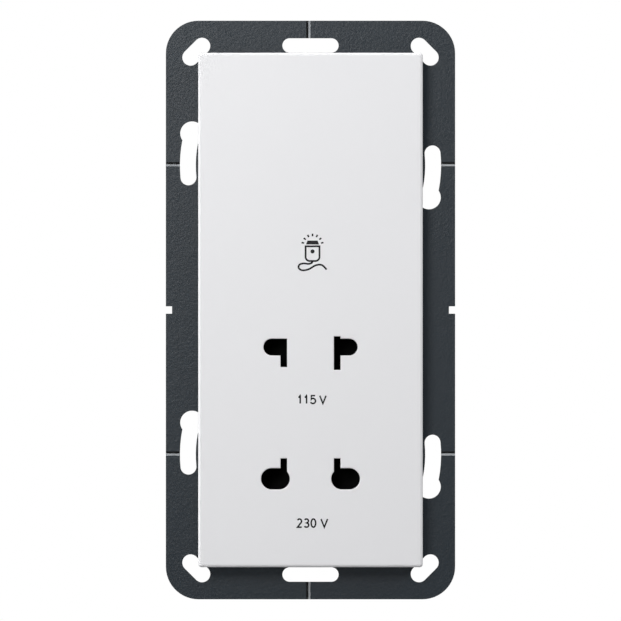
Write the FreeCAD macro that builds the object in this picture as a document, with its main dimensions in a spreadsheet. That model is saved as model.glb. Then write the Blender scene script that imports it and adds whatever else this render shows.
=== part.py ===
import FreeCAD, Part
import os
import Sketcher

# Two-gang shaver socket: metal support frame, clip-on cover, shuttered 115 V and 230 V apertures,
# isolating transformer in a tub behind the wall plane.
# X runs right, Z runs up, the front faces -Y. Y = 0 is the frame's back face, at the frame's centre.

# Every independent size in millimetres, once, with what it measures.
SIZES = [
    # pin holes and blade slots, from the middle and from the frame's centre
    ("low_volt_z", -9.09, "height of the 115 V pin holes"),
    ("pin_pitch", 32.26, "from the 115 V pin holes down to the 230 V ones"),
    ("blade_inner", 5.74, "inner side of the blade slots"),
    ("blade_width", 1.6, "width of a blade slot"),
    ("low_volt_length", 5.79, "115 V pin hole, from the blade slot's inner side to the round end"),
    ("low_volt_radius", 2.05, "half the height of a 115 V pin hole"),
    ("left_blade_drop", 4.89, "left 115 V blade slot, how far it reaches below the pin hole's middle"),
    ("right_blade_rise", 2.61, "right 115 V blade slot, how far it reaches above that middle"),
    ("right_blade_drop", 5.6, "the same slot, how far it reaches below"),
    ("high_volt_inner", 5.07, "inner end of a 230 V pin hole"),
    ("high_volt_length", 7.05, "230 V pin hole, end to end"),
    ("high_volt_radius", 2.6, "half the height of a 230 V pin hole"),
    ("high_blade_rise", 4.99, "230 V blade slots, how far they reach above the pin hole's middle"),
    ("aperture_edge", 0.3, "rounding along the front edges of the holes"),
    ("throat_growth", 0.2, "how much wider the throat is than the cover's hole, a side"),
    ("throat_side", 2.38, "throat block beside the outer ends of the 230 V pin holes"),
    ("throat_depth", 2.4, "throat block behind the raised box's roof"),
    # shutters
    ("pin_lap", 0.5, "how far a right blade stands in past its hole's inner end"),
    ("outer_lap", 0.45, "how far it stands out past the outer end"),
    ("left_lap", 0.6, "how far a left blade stands out past the outer end"),
    ("travel_margin", 0.3, "how far a hole's end is cleared when the shutter is open"),
    ("ramp_lip", 0.4, "flat between a ramp's top and the blade's edge"),
    ("ramp_margin", 0.3, "ramp above and below the openings"),
    ("low_bar", 1.5, "bar under the ramps"),
    ("high_bar", 5.6, "bar over the ramps"),
    ("shutter_thick", 2.4, "bars of a shutter"),
    ("ramp_depth", 5.0, "how far a ramp stands back behind the bars"),
    ("ramp_toe", 1.0, "flat end of a ramp"),
    ("slide_play", 0.1, "in front of a shutter and behind it"),
    ("slide_gap", 0.15, "between a shutter's edge and its rail"),
    ("rail_thick", 1.2, "guide rails of the shutters"),
    ("rail_clear", 0.45, "between a rail's end and a shutter's tab"),
    ("wedge_rise", 0.11, "rise of a shutter's wedge for each millimetre it slides"),
    ("tab_right_margin", 1.0, "tab, from the plunger's axis to its right edge"),
    ("tab_half", 1.8, "half the height of the tab's part over the switch"),
    ("switch_drop", 3.1, "from a shutter's lower edge down to its switch"),
    ("end_room", 0.48, "between the open 230 V shutter and the raised box"),
    # springs
    ("spring_rise", 1.9, "from the ramps up to a spring's axis"),
    ("spring_length", 15.0, "spring at rest"),
    ("spring_post_left", 6.0, "left face of the post that a spring pushes on"),
    ("spring_post_thick", 1.2, "that post, side to side"),
    ("spring_slot_half", 1.3, "half the height of a spring's slot"),
    ("spring_post_gap", 0.2, "round that post in the slot"),
    ("spring_radius", 0.82, "mean radius of a spring"),
    ("spring_wire", 0.28, "thickness of the wire"),
    ("spring_turns", 7.0, "turns of a spring"),
    # microswitches
    ("switch_x", -5.4, "centre of the switches"),
    ("switch_end", 1.3, "case beyond the middle of an outer solder tab"),
    ("switch_half_width", 2.5, "half the thickness of a switch"),
    ("switch_depth", 6.5, "case of a switch, front to back"),
    ("switch_under", 0.05, "between a switch and the floor of the tab's relief"),
    ("relief_under", 0.12, "between that floor and the tab when the shutter is open"),
    ("plunger_offset", 1.5, "from a switch's centre to its plunger"),
    ("plunger_radius", 0.6, "radius of a plunger"),
    ("plunger_length", 2.48, "length of a plunger"),
    ("plunger_play", 0.02, "between a plunger and the tab at rest"),
    ("well_under", 0.2, "under a plunger that is pushed right in"),
    ("tab_pitch", 5.1, "between the solder tabs"),
    ("tab_half_width", 0.8, "half the width of a solder tab"),
    ("tab_half_thick", 0.25, "half the thickness of a solder tab"),
    ("tab_reach", 2.4, "solder tab behind the backplate"),
    # contact base
    ("base_depth", 13.9, "contact base, front to back"),
    ("backplate_thick", 1.6, "backplate"),
    ("base_side_gap", 0.3, "between the base and the raised box, at the sides"),
    ("base_foot_gap", 0.2, "the same, at the foot"),
    ("base_foot_wall", 0.85, "base under the lower switch"),
    ("base_step_width", 6.6, "lower corners cut away round the housing's columns, width"),
    ("base_step_height", 6.6, "the same, height"),
    ("channel_gap", 0.3, "round the ramps in their channels"),
    ("channel_under", 0.2, "under the ramps in their channels"),
    ("pocket_gap", 0.15, "round a switch or a brass pillar in its pocket"),
    ("slot_gap", 0.2, "round tabs, tails and contacts in their slots"),
    # contacts
    ("contact_inner_lap", 0.27, "web of a contact past the 230 V hole's inner end"),
    ("contact_outer_lap", 0.48, "the same, past its outer end"),
    ("contact_half", 4.0, "half the height of the web"),
    ("contact_sheet", 0.5, "sheet of a contact"),
    ("leaf_offset", 0.56, "from the blade slot to the gripping leaves"),
    ("leaf_end", 0.2, "web beside the outer edge of the leaves"),
    ("leaf_step", 0.6, "from the web's edge to a leaf's root"),
    ("leaf_pinch", 2.2, "half the distance across the leaves where they grip"),
    ("leaf_mouth", 3.3, "half the distance across their mouth"),
    ("mouth_gap", 1.0, "between the channel's floor and the mouth"),
    ("pinch_reach", 2.0, "from the mouth back to where they grip"),
    ("blade_leaf_gap", 0.14, "between the blade slot's inner side and the blade leaf"),
    ("tail_half_thick", 0.3, "half the thickness of a solder tail"),
    ("tail_half_height", 1.8, "half the height of a solder tail"),
    ("tail_reach", 3.4, "solder tail behind the backplate"),
    # transformer
    ("limb_half", 8.0, "half the middle limb, and the width of the others"),
    ("stack_depth", 20.0, "core, front to back"),
    ("core_gap", 0.3, "between the backplate and the core"),
    ("core_side_gap", 2.4, "between the core and the tub's side wall"),
    ("core_column_gap", 0.15, "between the core and the upper columns"),
    ("former_gap", 0.15, "between the former and the middle limb"),
    ("former_wall", 1.0, "wall of the former"),
    ("former_end_gap", 0.1, "between the former's flange and the yoke"),
    ("former_side_gap", 0.4, "between the former's flange and the outer limbs"),
    ("former_lap", 0.9, "former's flange beyond the coil, to the front and back"),
    ("insulation_build", 0.3, "thickness of a layer of tape"),
    ("secondary_build", 2.1, "thickness of the secondary winding"),
    ("coil_clear", 1.3, "between the coil and the outer limbs"),
    ("coil_corner", 2.5, "outer corner radius of the coil"),
    ("cutout_half_width", 3.0, "overload cut-out, half its width"),
    ("cutout_half_height", 5.5, "the same, half its height"),
    ("cutout_thick", 3.6, "thickness of the cut-out"),
    ("cutout_drop", 1.5, "from the core's centre down to the cut-out's middle"),
    # rear housing
    ("tub_wall", 1.8, "wall of the rear housing"),
    ("tub_side", 1.7, "housing outside the raised box, a side"),
    ("tub_end", 1.3, "the same, at the top and the foot"),
    ("tub_corner", 2.0, "corner radius of the rear housing"),
    ("coil_room", 1.6, "between the coil and the deep part's back"),
    ("column_radius", 3.0, "column that takes a housing screw"),
    ("column_inset", 2.3, "from the raised box's inside to a housing screw"),
    ("rib_thick", 1.6, "ribs from the columns to the walls"),
    ("boss_radius", 3.2, "boss that takes a core screw"),
    ("pilot_under", 0.6, "screw hole beyond the screw's tip"),
    ("vent_count", 5.0, "vents in each side"),
    ("vent_half", 0.8, "half the height of a vent"),
    ("vent_front", 10.0, "front end of a vent"),
    ("vent_back_gap", 8.0, "from a vent's rear end to the housing's back"),
    ("vent_span", 32.0, "from the lowest vent to the highest"),
    # front carrier
    ("hat_wall", 1.6, "wall and roof of the raised box"),
    ("hat_corner", 2.5, "corner radius of the raised box"),
    ("flange_thick", 1.6, "flange on the frame"),
    ("flange_side", 0.9, "flange beyond the frame's window, at the sides"),
    ("flange_end", 5.3, "the same, at the top and the foot"),
    ("flange_corner", 1.0, "corner radius of the flange"),
    ("catch_gap", 0.2, "round a barb in its catch"),
    # cover plate
    ("cover_lift", 1.1, "between the frame and the skirt's edge"),
    ("cover_depth", 7.9, "cover, front to back"),
    ("cover_face", 2.0, "thickness of the cover's face"),
    ("cover_wall", 1.8, "thickness of the cover's skirt"),
    ("cover_gap", 0.3, "between the skirt and the flange"),
    ("cover_corner", 0.8, "corner radius in plan"),
    ("cover_edge", 0.75, "radius along the front edge"),
    ("hook_height", 30.0, "from the middle up to a clip's hook"),
    ("hook_half", 3.0, "half the width of a hook"),
    ("hook_thick", 1.1, "thickness of a hook's tongue"),
    ("hook_clear", 0.8, "between a hook's end and the flange"),
    ("barb_reach", 0.85, "how far a barb stands in from its tongue"),
    ("barb_height", 1.7, "from a hook's end to the barb's catching face"),
    # support frame
    ("frame_thick", 1.5, "sheet of the frame"),
    ("frame_margin", 8.0, "frame beyond the cover, all round"),
    ("frame_corner", 8.0, "corner radius of the frame"),
    ("window_gap", 0.3, "between the tub and the frame's window"),
    ("window_corner", 1.5, "corner radius of the window"),
    ("side_notch_depth", 1.52, "notch in the middle of each long edge"),
    ("side_notch_height", 1.8, "the same, top to bottom"),
    ("keyhole_inset", 5.4, "from the frame's edge to the keyhole slots' middle line"),
    ("keyhole_half_width", 1.95, "half the width of a keyhole slot"),
    ("keyhole_entry_radius", 2.92, "round entry at a keyhole's wide end"),
    ("keyhole_low_angle", 5.6, "from the horizontal down to the slot's narrow end"),
    ("keyhole_high_angle", 15.15, "from the horizontal up to the round entry"),
    ("end_slot_half_length", 5.12, "from the middle to the arc centres of an end slot"),
    ("end_slot_radius", 1.78, "half the height of an end slot"),
    ("end_slot_inset", 6.08, "from the frame's end to an end slot"),
    ("corner_slot_side", 7.47, "from the frame's edge to a corner slot's centre"),
    ("corner_slot_end", 7.6, "from the frame's end to a corner slot's centre"),
    ("corner_slot_reach", 1.4, "from its centre to an arc centre, along X and along Z"),
    ("corner_slot_radius", 2.03, "half the width of a corner slot"),
    ("mark_width", 1.05, "width of a pressed alignment mark"),
    ("mark_depth", 0.55, "depth of a pressed alignment mark"),
    ("mark_offset_x", -0.55, "where the upright marks stand"),
    ("mark_offset_z", 0.3, "how far the level marks stand above a gang's centre"),
    # screws
    ("housing_screw_radius", 1.45, "thread of a housing screw"),
    ("housing_head_radius", 2.7, "head of a housing screw"),
    ("housing_head_thick", 1.9, "height of that head"),
    ("housing_screw_length", 12.2, "housing screw under its head"),
    ("head_gap", 0.25, "round a housing screw's head in its pit"),
    ("pit_wall", 0.8, "carrier post round the pit"),
    ("pit_under", 2.2, "carrier post under the pit"),
    ("small_screw_radius", 1.25, "thread of the frame and base screws"),
    ("small_head_radius", 2.15, "head of a frame or base screw"),
    ("small_head_thick", 1.5, "height of that head"),
    ("frame_screw_offset", 1.5, "from the outer terminals out to the frame screws"),
    ("frame_screw_gap", 0.1, "between a frame screw's tip and the wall plane"),
    ("base_screw_side", 3.6, "from the raised box's inside to the base screws"),
    ("base_screw_top", 5.8, "from the base's upper edge to the upper left screw"),
    ("base_screw_foot", 4.6, "from the base's step up to the lower left screw"),
    ("base_screw_gap", 1.3, "between a base screw's tip and the roof"),
    ("base_post_wall", 1.3, "carrier post round a base screw"),
    ("core_screw_radius", 1.5, "thread of a core screw"),
    ("core_head_radius", 2.7, "head of a core screw"),
    ("core_head_thick", 1.9, "height of that head"),
    ("core_screw_under", 4.0, "between a core screw's tip and the housing's back"),
    ("recess_width", 0.7, "width of a cross recess"),
    ("recess_reach", 1.3, "half the length of a cross recess"),
    ("recess_depth", 1.0, "depth of a cross recess"),
    ("thread_gap", 0.05, "round a screw's thread in its hole"),
    ("shank_gap", 0.15, "round a screw's shank where it passes through"),
    # terminals
    ("terminal_pitch", 10.5, "between the terminals"),
    ("block_lift", 6.3, "from the housing's foot up to the terminal block"),
    ("block_height", 18.0, "terminal block, top to bottom"),
    ("block_side", 2.0, "block beside the outer pillars"),
    ("block_wall", 2.5, "block in front of the pillars and behind them"),
    ("block_step", 5.0, "from the block up to the deep part of the housing"),
    ("pillar_lift", 3.0, "block under a brass pillar"),
    ("pillar_height", 9.0, "brass pillar, top to bottom"),
    ("pillar_wall", 1.1, "pillar beside its wire bore"),
    ("pillar_depth", 8.0, "brass pillar, front to back"),
    ("wire_bore", 1.9, "radius of the wire bore in a pillar"),
    ("wire_bore_roof", 1.5, "pillar over its wire bore"),
    ("entry_growth", 0.3, "how much wider the block's wire entry is, a side"),
    ("clamp_lift", 4.0, "from a pillar's foot up to its screw"),
    ("clamp_radius", 1.45, "thread of a terminal screw"),
    ("clamp_tip_gap", 0.3, "between the screw's tip, backed off, and the wire bore"),
    ("clamp_head_radius", 2.1, "head of a terminal screw"),
    ("clamp_head_gap", 0.7, "between that head, backed off, and the pillar"),
    ("clamp_head_thick", 1.4, "height of that head"),
    ("clamp_slot_depth", 0.7, "depth of its slot"),
    ("clamp_slot_half", 0.35, "half the width of its slot"),
    ("access_gap", 0.3, "round that head in its hole"),
    ("tail_lift", 5.0, "from a pillar's foot up to its tail"),
    ("tail_half_width", 1.2, "half the width of a terminal's tail"),
    ("tail_thick", 0.8, "thickness of a terminal's tail"),
    # earth strap
    ("strap_half_width", 2.5, "half the width of the earth strap"),
    ("strap_thick", 0.5, "thickness of the strap"),
    ("strap_end_gap", 0.5, "from the flange's foot to the end of the strap's tab"),
    ("strap_top_gap", 1.4, "from the earth pillar's top to the strap's upper end"),
    ("strap_gap", 0.2, "round the strap in its notches"),
    # leads
    ("lead_radius", 0.8, "outer radius of a lead"),
    ("lead_run_gap", 1.5, "from the solder tails back to the run of most leads"),
    ("lead_run_step", 2.1, "from there back to the run of the 230 V tap"),
    ("lead_back_step", 1.8, "and from there back to the run of the neutral lead"),
    ("lead_back_gap", 1.0, "between the neutral lead and the housing"),
    ("lead_room", 0.53, "room beside the leads that pass under the core"),
    ("lead_low_step", 2.4, "from those leads down to the ones that pass behind them"),
    ("lead_coil_gap", 2.6, "from the core to where leads end under the coil"),
    ("lead_pair_half", 1.05, "half the distance between two leads on one tail"),
]

doc = FreeCAD.newDocument("shaver_socket")
sheet = doc.addObject("Spreadsheet::Sheet", "sizes")


class Size:
    """A length that knows its number and the sheet expression that it comes from."""

    def __init__(self, number, text):
        self.number = number
        self.text = text

    def __add__(self, other):
        return combine(self, "+", other, self.number + number_of(other))

    def __sub__(self, other):
        return combine(self, "-", other, self.number - number_of(other))

    def __mul__(self, other):
        return combine(self, "*", other, self.number * number_of(other))

    def __truediv__(self, other):
        return combine(self, "/", other, self.number / number_of(other))

    def __neg__(self):
        return self * -1

    __rmul__ = __mul__


def number_of(value):
    return value.number if isinstance(value, Size) else float(value)


def text_of(value):
    return value.text if isinstance(value, Size) else "(%r)" % float(value)


def combine(first, sign, second, number):
    return Size(number, "(%s %s %s)" % (first.text, sign, text_of(second)))


def larger(first, second):
    """The larger of two needs, as for a box that has to hold both."""
    return Size(max(first.number, second.number), "max(%s; %s)" % (first.text, second.text))


class Sheet:
    """The sheet's sizes by name."""


s = Sheet()
for row, (name, number, meaning) in enumerate(SIZES, start=1):
    sheet.set("A%d" % row, meaning)
    sheet.set("B%d" % row, str(number))
    sheet.setAlias("B%d" % row, name)
    setattr(s, name, Size(number, "sizes." + name))
doc.recompute()

ORIGIN = FreeCAD.Vector(0, 0, 0)
UP = FreeCAD.Vector(0, 0, 1)
QUARTER = FreeCAD.Units.Quantity("90 deg").getValueAs("rad").Value
MIDDLE = Size(0.0, "0")
WALL = MIDDLE

# The other sizes follow from those, from the holes outwards

# holes
s.blade_outer = s.blade_inner + s.blade_width
s.low_volt_outer = s.blade_inner + s.low_volt_length
s.left_blade_top = s.low_volt_z + s.low_volt_radius
s.left_blade_foot = s.low_volt_z - s.left_blade_drop
s.right_blade_top = s.low_volt_z + s.right_blade_rise
s.right_blade_foot = s.low_volt_z - s.right_blade_drop
s.high_volt_z = s.low_volt_z - s.pin_pitch
s.high_volt_outer = s.high_volt_inner + s.high_volt_length
s.high_blade_top = s.high_volt_z + s.high_blade_rise
s.throat_half_width = s.high_volt_outer + s.throat_side

# levels from the frame's front to the throats, the shutters and the base
s.seat = -s.frame_thick
s.flange_front = s.seat - s.flange_thick
s.cover_foot = s.seat - s.cover_lift
s.cover_front = s.cover_foot - s.cover_depth
s.roof_front = s.cover_front + s.cover_face
s.roof_back = s.roof_front + s.hat_wall
s.throat_back = s.roof_back + s.throat_depth
s.shutter_front = s.throat_back + s.slide_play
s.shutter_back = s.shutter_front + s.shutter_thick
s.ramp_back = s.shutter_back + s.ramp_depth
s.ramp_foot = s.ramp_back - s.ramp_toe
s.base_front = s.shutter_back + s.slide_play
s.rail_back = s.base_front - s.slide_gap
s.channel_floor = s.ramp_back + s.channel_under
s.base_back = s.base_front + s.base_depth
s.backplate_back = s.base_back + s.backplate_thick
s.hook_tip = s.flange_front - s.hook_clear
s.barb_top = s.hook_tip - s.barb_height

# shutters, side to side
s.low_right_start = s.blade_inner - s.pin_lap
s.low_right_end = s.low_volt_outer + s.outer_lap
s.low_travel = s.low_volt_outer + s.travel_margin - s.low_right_start
s.low_left_start = -s.low_volt_outer - s.left_lap
s.low_left_end = s.blade_inner - s.low_travel - s.travel_margin
s.high_right_start = s.high_volt_inner - s.pin_lap
s.high_right_end = s.high_volt_outer + s.outer_lap
s.high_travel = s.high_volt_outer + s.travel_margin - s.high_right_start
s.high_left_start = -s.high_volt_outer - s.left_lap
s.high_left_end = s.high_volt_inner - s.high_travel - s.travel_margin

# shutters, springs and switches, from the holes up and down
s.low_ramp_foot_z = s.right_blade_foot - s.ramp_margin
s.low_ramp_top_z = s.right_blade_top + s.ramp_margin
s.low_shutter_foot = s.low_ramp_foot_z - s.low_bar
s.low_shutter_top = s.low_ramp_top_z + s.high_bar
s.low_spring_z = s.low_ramp_top_z + s.spring_rise
s.low_switch_z = s.low_shutter_foot - s.switch_drop
s.high_ramp_foot_z = s.high_volt_z - s.high_volt_radius - s.ramp_margin
s.high_ramp_top_z = s.high_blade_top + s.ramp_margin
s.high_shutter_foot = s.high_ramp_foot_z - s.low_bar
s.high_shutter_top = s.high_ramp_top_z + s.high_bar
s.high_spring_z = s.high_ramp_top_z + s.spring_rise
s.high_switch_z = s.high_shutter_foot - s.switch_drop
s.spring_slot_left = s.spring_post_left - s.spring_length
s.spring_post_right = s.spring_post_left + s.spring_post_thick
s.spring_slot_right = s.spring_post_right + s.spring_post_gap
s.spring_post_half = s.spring_slot_half - s.spring_post_gap

# switches, front to back
s.plunger_x = s.switch_x + s.plunger_offset
s.wedge_start = s.plunger_x - s.plunger_radius
s.tab_left = s.wedge_start - s.plunger_radius - s.high_travel
s.tab_right = s.plunger_x + s.tab_right_margin
s.rail_gap_left = s.tab_left - s.rail_clear
s.rail_gap_right = s.tab_right + s.high_travel + s.rail_clear
s.relief_floor = s.shutter_back + (s.high_travel + s.plunger_radius) * s.wedge_rise + s.relief_under
s.switch_front = s.relief_floor + s.switch_under
s.switch_back = s.switch_front + s.switch_depth
s.switch_half_length = s.tab_pitch + s.switch_end
s.plunger_front = s.shutter_back + s.plunger_play
s.plunger_back = s.plunger_front + s.plunger_length
s.plunger_well = s.plunger_back + s.high_travel * s.wedge_rise + s.well_under
s.tab_end = s.backplate_back + s.tab_reach
s.tail_end = s.backplate_back + s.tail_reach

# contacts
s.contact_inner = s.high_volt_inner - s.contact_inner_lap
s.contact_outer = s.high_volt_outer + s.contact_outer_lap
s.leaf_inner = s.blade_outer + s.leaf_offset
s.leaf_outer = s.contact_outer - s.leaf_end
s.leaf_root = s.contact_half - s.leaf_step
s.mouth_depth = s.channel_floor + s.mouth_gap
s.pinch_depth = s.mouth_depth + s.pinch_reach
s.blade_leaf_foot = s.blade_inner - s.blade_leaf_gap - s.contact_sheet

# core: it stands on the room for the leads over the base
s.core_half_width = s.limb_half * 2.5
s.core_half_height = s.limb_half * 3
s.core_hole_x = s.limb_half * 2
s.core_hole_z = s.limb_half * 2.5
s.base_top = s.low_spring_z + s.spring_post_half
s.core_foot = s.base_top + s.lead_radius * 2 + s.lead_room
s.core_z = s.core_foot + s.core_half_height
s.core_front = s.backplate_back + s.core_gap
s.core_back = s.core_front + s.stack_depth
s.core_middle = (s.core_front + s.core_back) / 2
s.primary_build = (s.limb_half - s.former_gap - s.former_wall - s.insulation_build * 2 - s.secondary_build
                   - s.coil_clear)
s.coil_build = s.former_wall + s.primary_build + s.secondary_build + s.insulation_build * 2
s.coil_half_y = s.stack_depth / 2 + s.former_gap + s.coil_build
s.coil_half_z = s.limb_half + s.former_gap + s.coil_build
s.coil_front = s.core_middle - s.coil_half_y
s.coil_back = s.core_middle + s.coil_half_y
s.coil_foot = s.core_z - s.coil_half_z
s.former_half_length = s.core_half_width - s.limb_half - s.former_end_gap
s.former_half_z = s.limb_half * 2 - s.former_side_gap
s.former_half_y = s.coil_half_y + s.former_lap
s.cutout_x = s.switch_x + s.tab_pitch
s.cutout_z = s.core_z - s.cutout_drop

# boxes, each round what it holds: the raised box, the tub, the window, the flange, the cover, the frame
s.base_bottom = s.high_switch_z - s.switch_half_width - s.base_foot_wall
s.hat_inner_width = larger(s.high_right_end + s.high_travel + s.end_room,
                           s.core_half_width + s.core_side_gap + s.tub_wall - s.tub_side - s.hat_wall)
s.hat_inner_height = larger(s.base_foot_gap - s.base_bottom,
                            s.core_z + s.core_half_height + s.core_column_gap + s.column_radius + s.column_inset)
s.hat_half_width = s.hat_inner_width + s.hat_wall
s.hat_half_height = s.hat_inner_height + s.hat_wall
s.tub_half_width = s.hat_half_width + s.tub_side
s.tub_half_height = s.hat_half_height + s.tub_end
s.window_half_width = s.tub_half_width + s.window_gap
s.window_half_height = s.tub_half_height + s.window_gap
s.flange_half_width = s.window_half_width + s.flange_side
s.flange_half_height = s.window_half_height + s.flange_end
s.cover_half_width = s.flange_half_width + s.cover_gap + s.cover_wall
s.cover_half_height = s.flange_half_height + s.cover_gap + s.cover_wall
s.frame_half_width = s.cover_half_width + s.frame_margin
s.frame_half_height = s.cover_half_height + s.frame_margin
s.gang_z = s.frame_half_height / 2
s.base_half_width = s.hat_inner_width - s.base_side_gap
s.base_step_x = s.base_half_width - s.base_step_width
s.base_step_z = s.base_bottom + s.base_step_height

# slots in the frame
s.keyhole_radius = s.frame_half_width - s.keyhole_inset
s.end_slot_z = s.frame_half_height - s.end_slot_inset
s.corner_slot_x = s.frame_half_width - s.corner_slot_side
s.corner_slot_z = s.frame_half_height - s.corner_slot_end

# leads
s.lead_run = s.tail_end + s.lead_run_gap
s.lead_run_high = s.lead_run + s.lead_run_step
s.lead_run_neutral = s.lead_run_high + s.lead_back_step
s.lead_gap_z = (s.core_foot + s.base_top) / 2
s.lead_low_z = s.lead_gap_z - s.lead_low_step
s.lead_coil_front = s.core_front - s.lead_coil_gap
s.lead_coil_back = s.core_back + s.lead_coil_gap

# tub, front to back, and its vents
s.tub_low_back = s.lead_run_neutral + s.lead_radius + s.lead_back_gap + s.tub_wall
s.tub_back = s.coil_back + s.coil_room + s.tub_wall
s.vent_back = s.tub_back - s.vent_back_gap
s.vent_low_z = s.core_z - s.vent_span / 2

# screws
s.housing_screw_x = s.hat_inner_width - s.column_inset
s.housing_screw_z = s.hat_inner_height - s.column_inset
s.pit_radius = s.housing_head_radius + s.head_gap
s.post_radius = s.pit_radius + s.pit_wall
s.pit_floor = s.seat - s.pit_under
s.housing_screw_tip = s.pit_floor + s.housing_screw_length
s.frame_screw_x = s.terminal_pitch + s.frame_screw_offset
s.frame_screw_z = (s.window_half_height + s.flange_half_height) / 2
s.base_screw_x = s.hat_inner_width - s.base_screw_side
s.base_screw_upper_z = s.base_top - s.base_screw_top
s.base_screw_lower_z = s.base_step_z + s.base_screw_foot
s.base_screw_right_z = (s.base_screw_upper_z + s.base_screw_lower_z) / 2
s.base_screw_tip = s.roof_back + s.base_screw_gap
s.base_post_radius = s.small_screw_radius + s.thread_gap + s.base_post_wall
s.core_screw_tip = s.tub_back - s.core_screw_under

# terminals and strap
s.block_foot = s.block_lift - s.tub_half_height
s.block_top = s.block_foot + s.block_height
s.tub_step = s.block_top + s.block_step
s.pillar_foot = s.block_foot + s.pillar_lift
s.pillar_top = s.pillar_foot + s.pillar_height
s.pillar_half = s.wire_bore + s.pillar_wall
s.pillar_front = s.tub_low_back + s.block_wall
s.pillar_back = s.pillar_front + s.pillar_depth
s.block_back = s.pillar_back + s.block_wall
s.block_half_width = s.terminal_pitch + s.pillar_half + s.block_side
s.wire_depth = (s.pillar_front + s.pillar_back) / 2
s.wire_bore_top = s.pillar_top - s.wire_bore_roof
s.entry_radius = s.wire_bore + s.entry_growth
s.clamp_z = s.pillar_foot + s.clamp_lift
s.clamp_tip = s.wire_depth + s.wire_bore + s.clamp_tip_gap
s.clamp_head_front = s.pillar_back + s.clamp_head_gap
s.clamp_head_back = s.clamp_head_front + s.clamp_head_thick
s.clamp_slot_floor = s.clamp_head_back - s.clamp_slot_depth
s.access_radius = s.clamp_head_radius + s.access_gap
s.tail_x = s.leaf_inner
s.tail_z = s.pillar_foot + s.tail_lift
s.tail_front = s.lead_run + s.lead_run_gap
s.strap_end = s.strap_end_gap - s.flange_half_height
s.strap_top = s.pillar_top - s.strap_top_gap


# Bodies and sketches

def new_body(label):
    body = doc.addObject("PartDesign::Body", label)
    body.Label = label
    return body


def origin_plane(body, role):
    return next(f for f in body.Origin.OriginFeatures if f.Role == role)


def new_sketch(body, name, plane, level, centre=None):
    """A sketch on one of the body's own planes, moved along the plane's normal to a level.

    On XZ the normal points to -Y, so the offset is minus the level.
    """
    sketch = body.newObject("Sketcher::SketchObject", body.Label + "_" + name)
    sketch.AttachmentSupport = (origin_plane(body, plane + "_Plane"), [""])
    sketch.MapMode = "FlatFace"
    offset = -level if plane == "XZ" else level
    sketch.setExpression("AttachmentOffset.Base.z", offset.text)
    if centre:
        sketch.setExpression("AttachmentOffset.Base.x", text_of(centre[0]))
        sketch.setExpression("AttachmentOffset.Base.y", text_of(centre[1]))
    return sketch


def bind(sketch, kind, *args):
    """A constraint whose last argument is a size, tied to the sheet."""
    size = args[-1]
    index = sketch.addConstraint(Sketcher.Constraint(kind, *args[:-1], number_of(size)))
    sketch.setExpression("Constraints[%d]" % index, text_of(size))


def place(sketch, geometry, point, x, y):
    bind(sketch, "DistanceX", -1, 1, geometry, point, x)
    bind(sketch, "DistanceY", -1, 1, geometry, point, y)


def polygon(sketch, points):
    """A closed outline of straight lines with every corner placed by sizes."""
    corners = [FreeCAD.Vector(number_of(x), number_of(y), 0) for x, y in points]
    lines = []
    for i, corner in enumerate(corners):
        lines.append(sketch.addGeometry(Part.LineSegment(corner, corners[(i + 1) % len(corners)])))
    for i, line in enumerate(lines):
        sketch.addConstraint(Sketcher.Constraint("Coincident", line, 2, lines[(i + 1) % len(lines)], 1))
    for line, (x, y) in zip(lines, points):
        place(sketch, line, 1, x, y)


def box_outline(sketch, x1, y1, x2, y2):
    polygon(sketch, [(x1, y1), (x2, y1), (x2, y2), (x1, y2)])


def centred_box(sketch, half_x, half_y):
    box_outline(sketch, -half_x, -half_y, half_x, half_y)


def circle(sketch, x, y, radius):
    centre = FreeCAD.Vector(number_of(x), number_of(y), 0)
    geometry = sketch.addGeometry(Part.Circle(centre, UP, number_of(radius)))
    place(sketch, geometry, 3, x, y)
    bind(sketch, "Radius", geometry, radius)


def obround(sketch, x1, y1, x2, y2, radius):
    """A slot with round ends about two placed centres."""
    start = FreeCAD.Vector(number_of(x1), number_of(y1), 0)
    end = FreeCAD.Vector(number_of(x2), number_of(y2), 0)
    along = (end - start).normalize()
    side = FreeCAD.Vector(-along.y, along.x, 0)
    turn = FreeCAD.Vector(1, 0, 0).getAngle(along) * (1 if along.y >= 0 else -1)
    r = number_of(radius)
    first = sketch.addGeometry(Part.ArcOfCircle(Part.Circle(start, UP, r), turn + QUARTER, turn + 3 * QUARTER))
    second = sketch.addGeometry(Part.ArcOfCircle(Part.Circle(end, UP, r), turn - QUARTER, turn + QUARTER))
    low = sketch.addGeometry(Part.LineSegment(start - side * r, end - side * r))
    high = sketch.addGeometry(Part.LineSegment(end + side * r, start + side * r))
    for a, pa, b, pb in ((first, 2, low, 1), (low, 2, second, 1), (second, 2, high, 1), (high, 2, first, 1)):
        sketch.addConstraint(Sketcher.Constraint("Tangent", a, pa, b, pb))
    place(sketch, first, 3, x1, y1)
    place(sketch, second, 3, x2, y2)
    bind(sketch, "Radius", first, radius)


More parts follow.
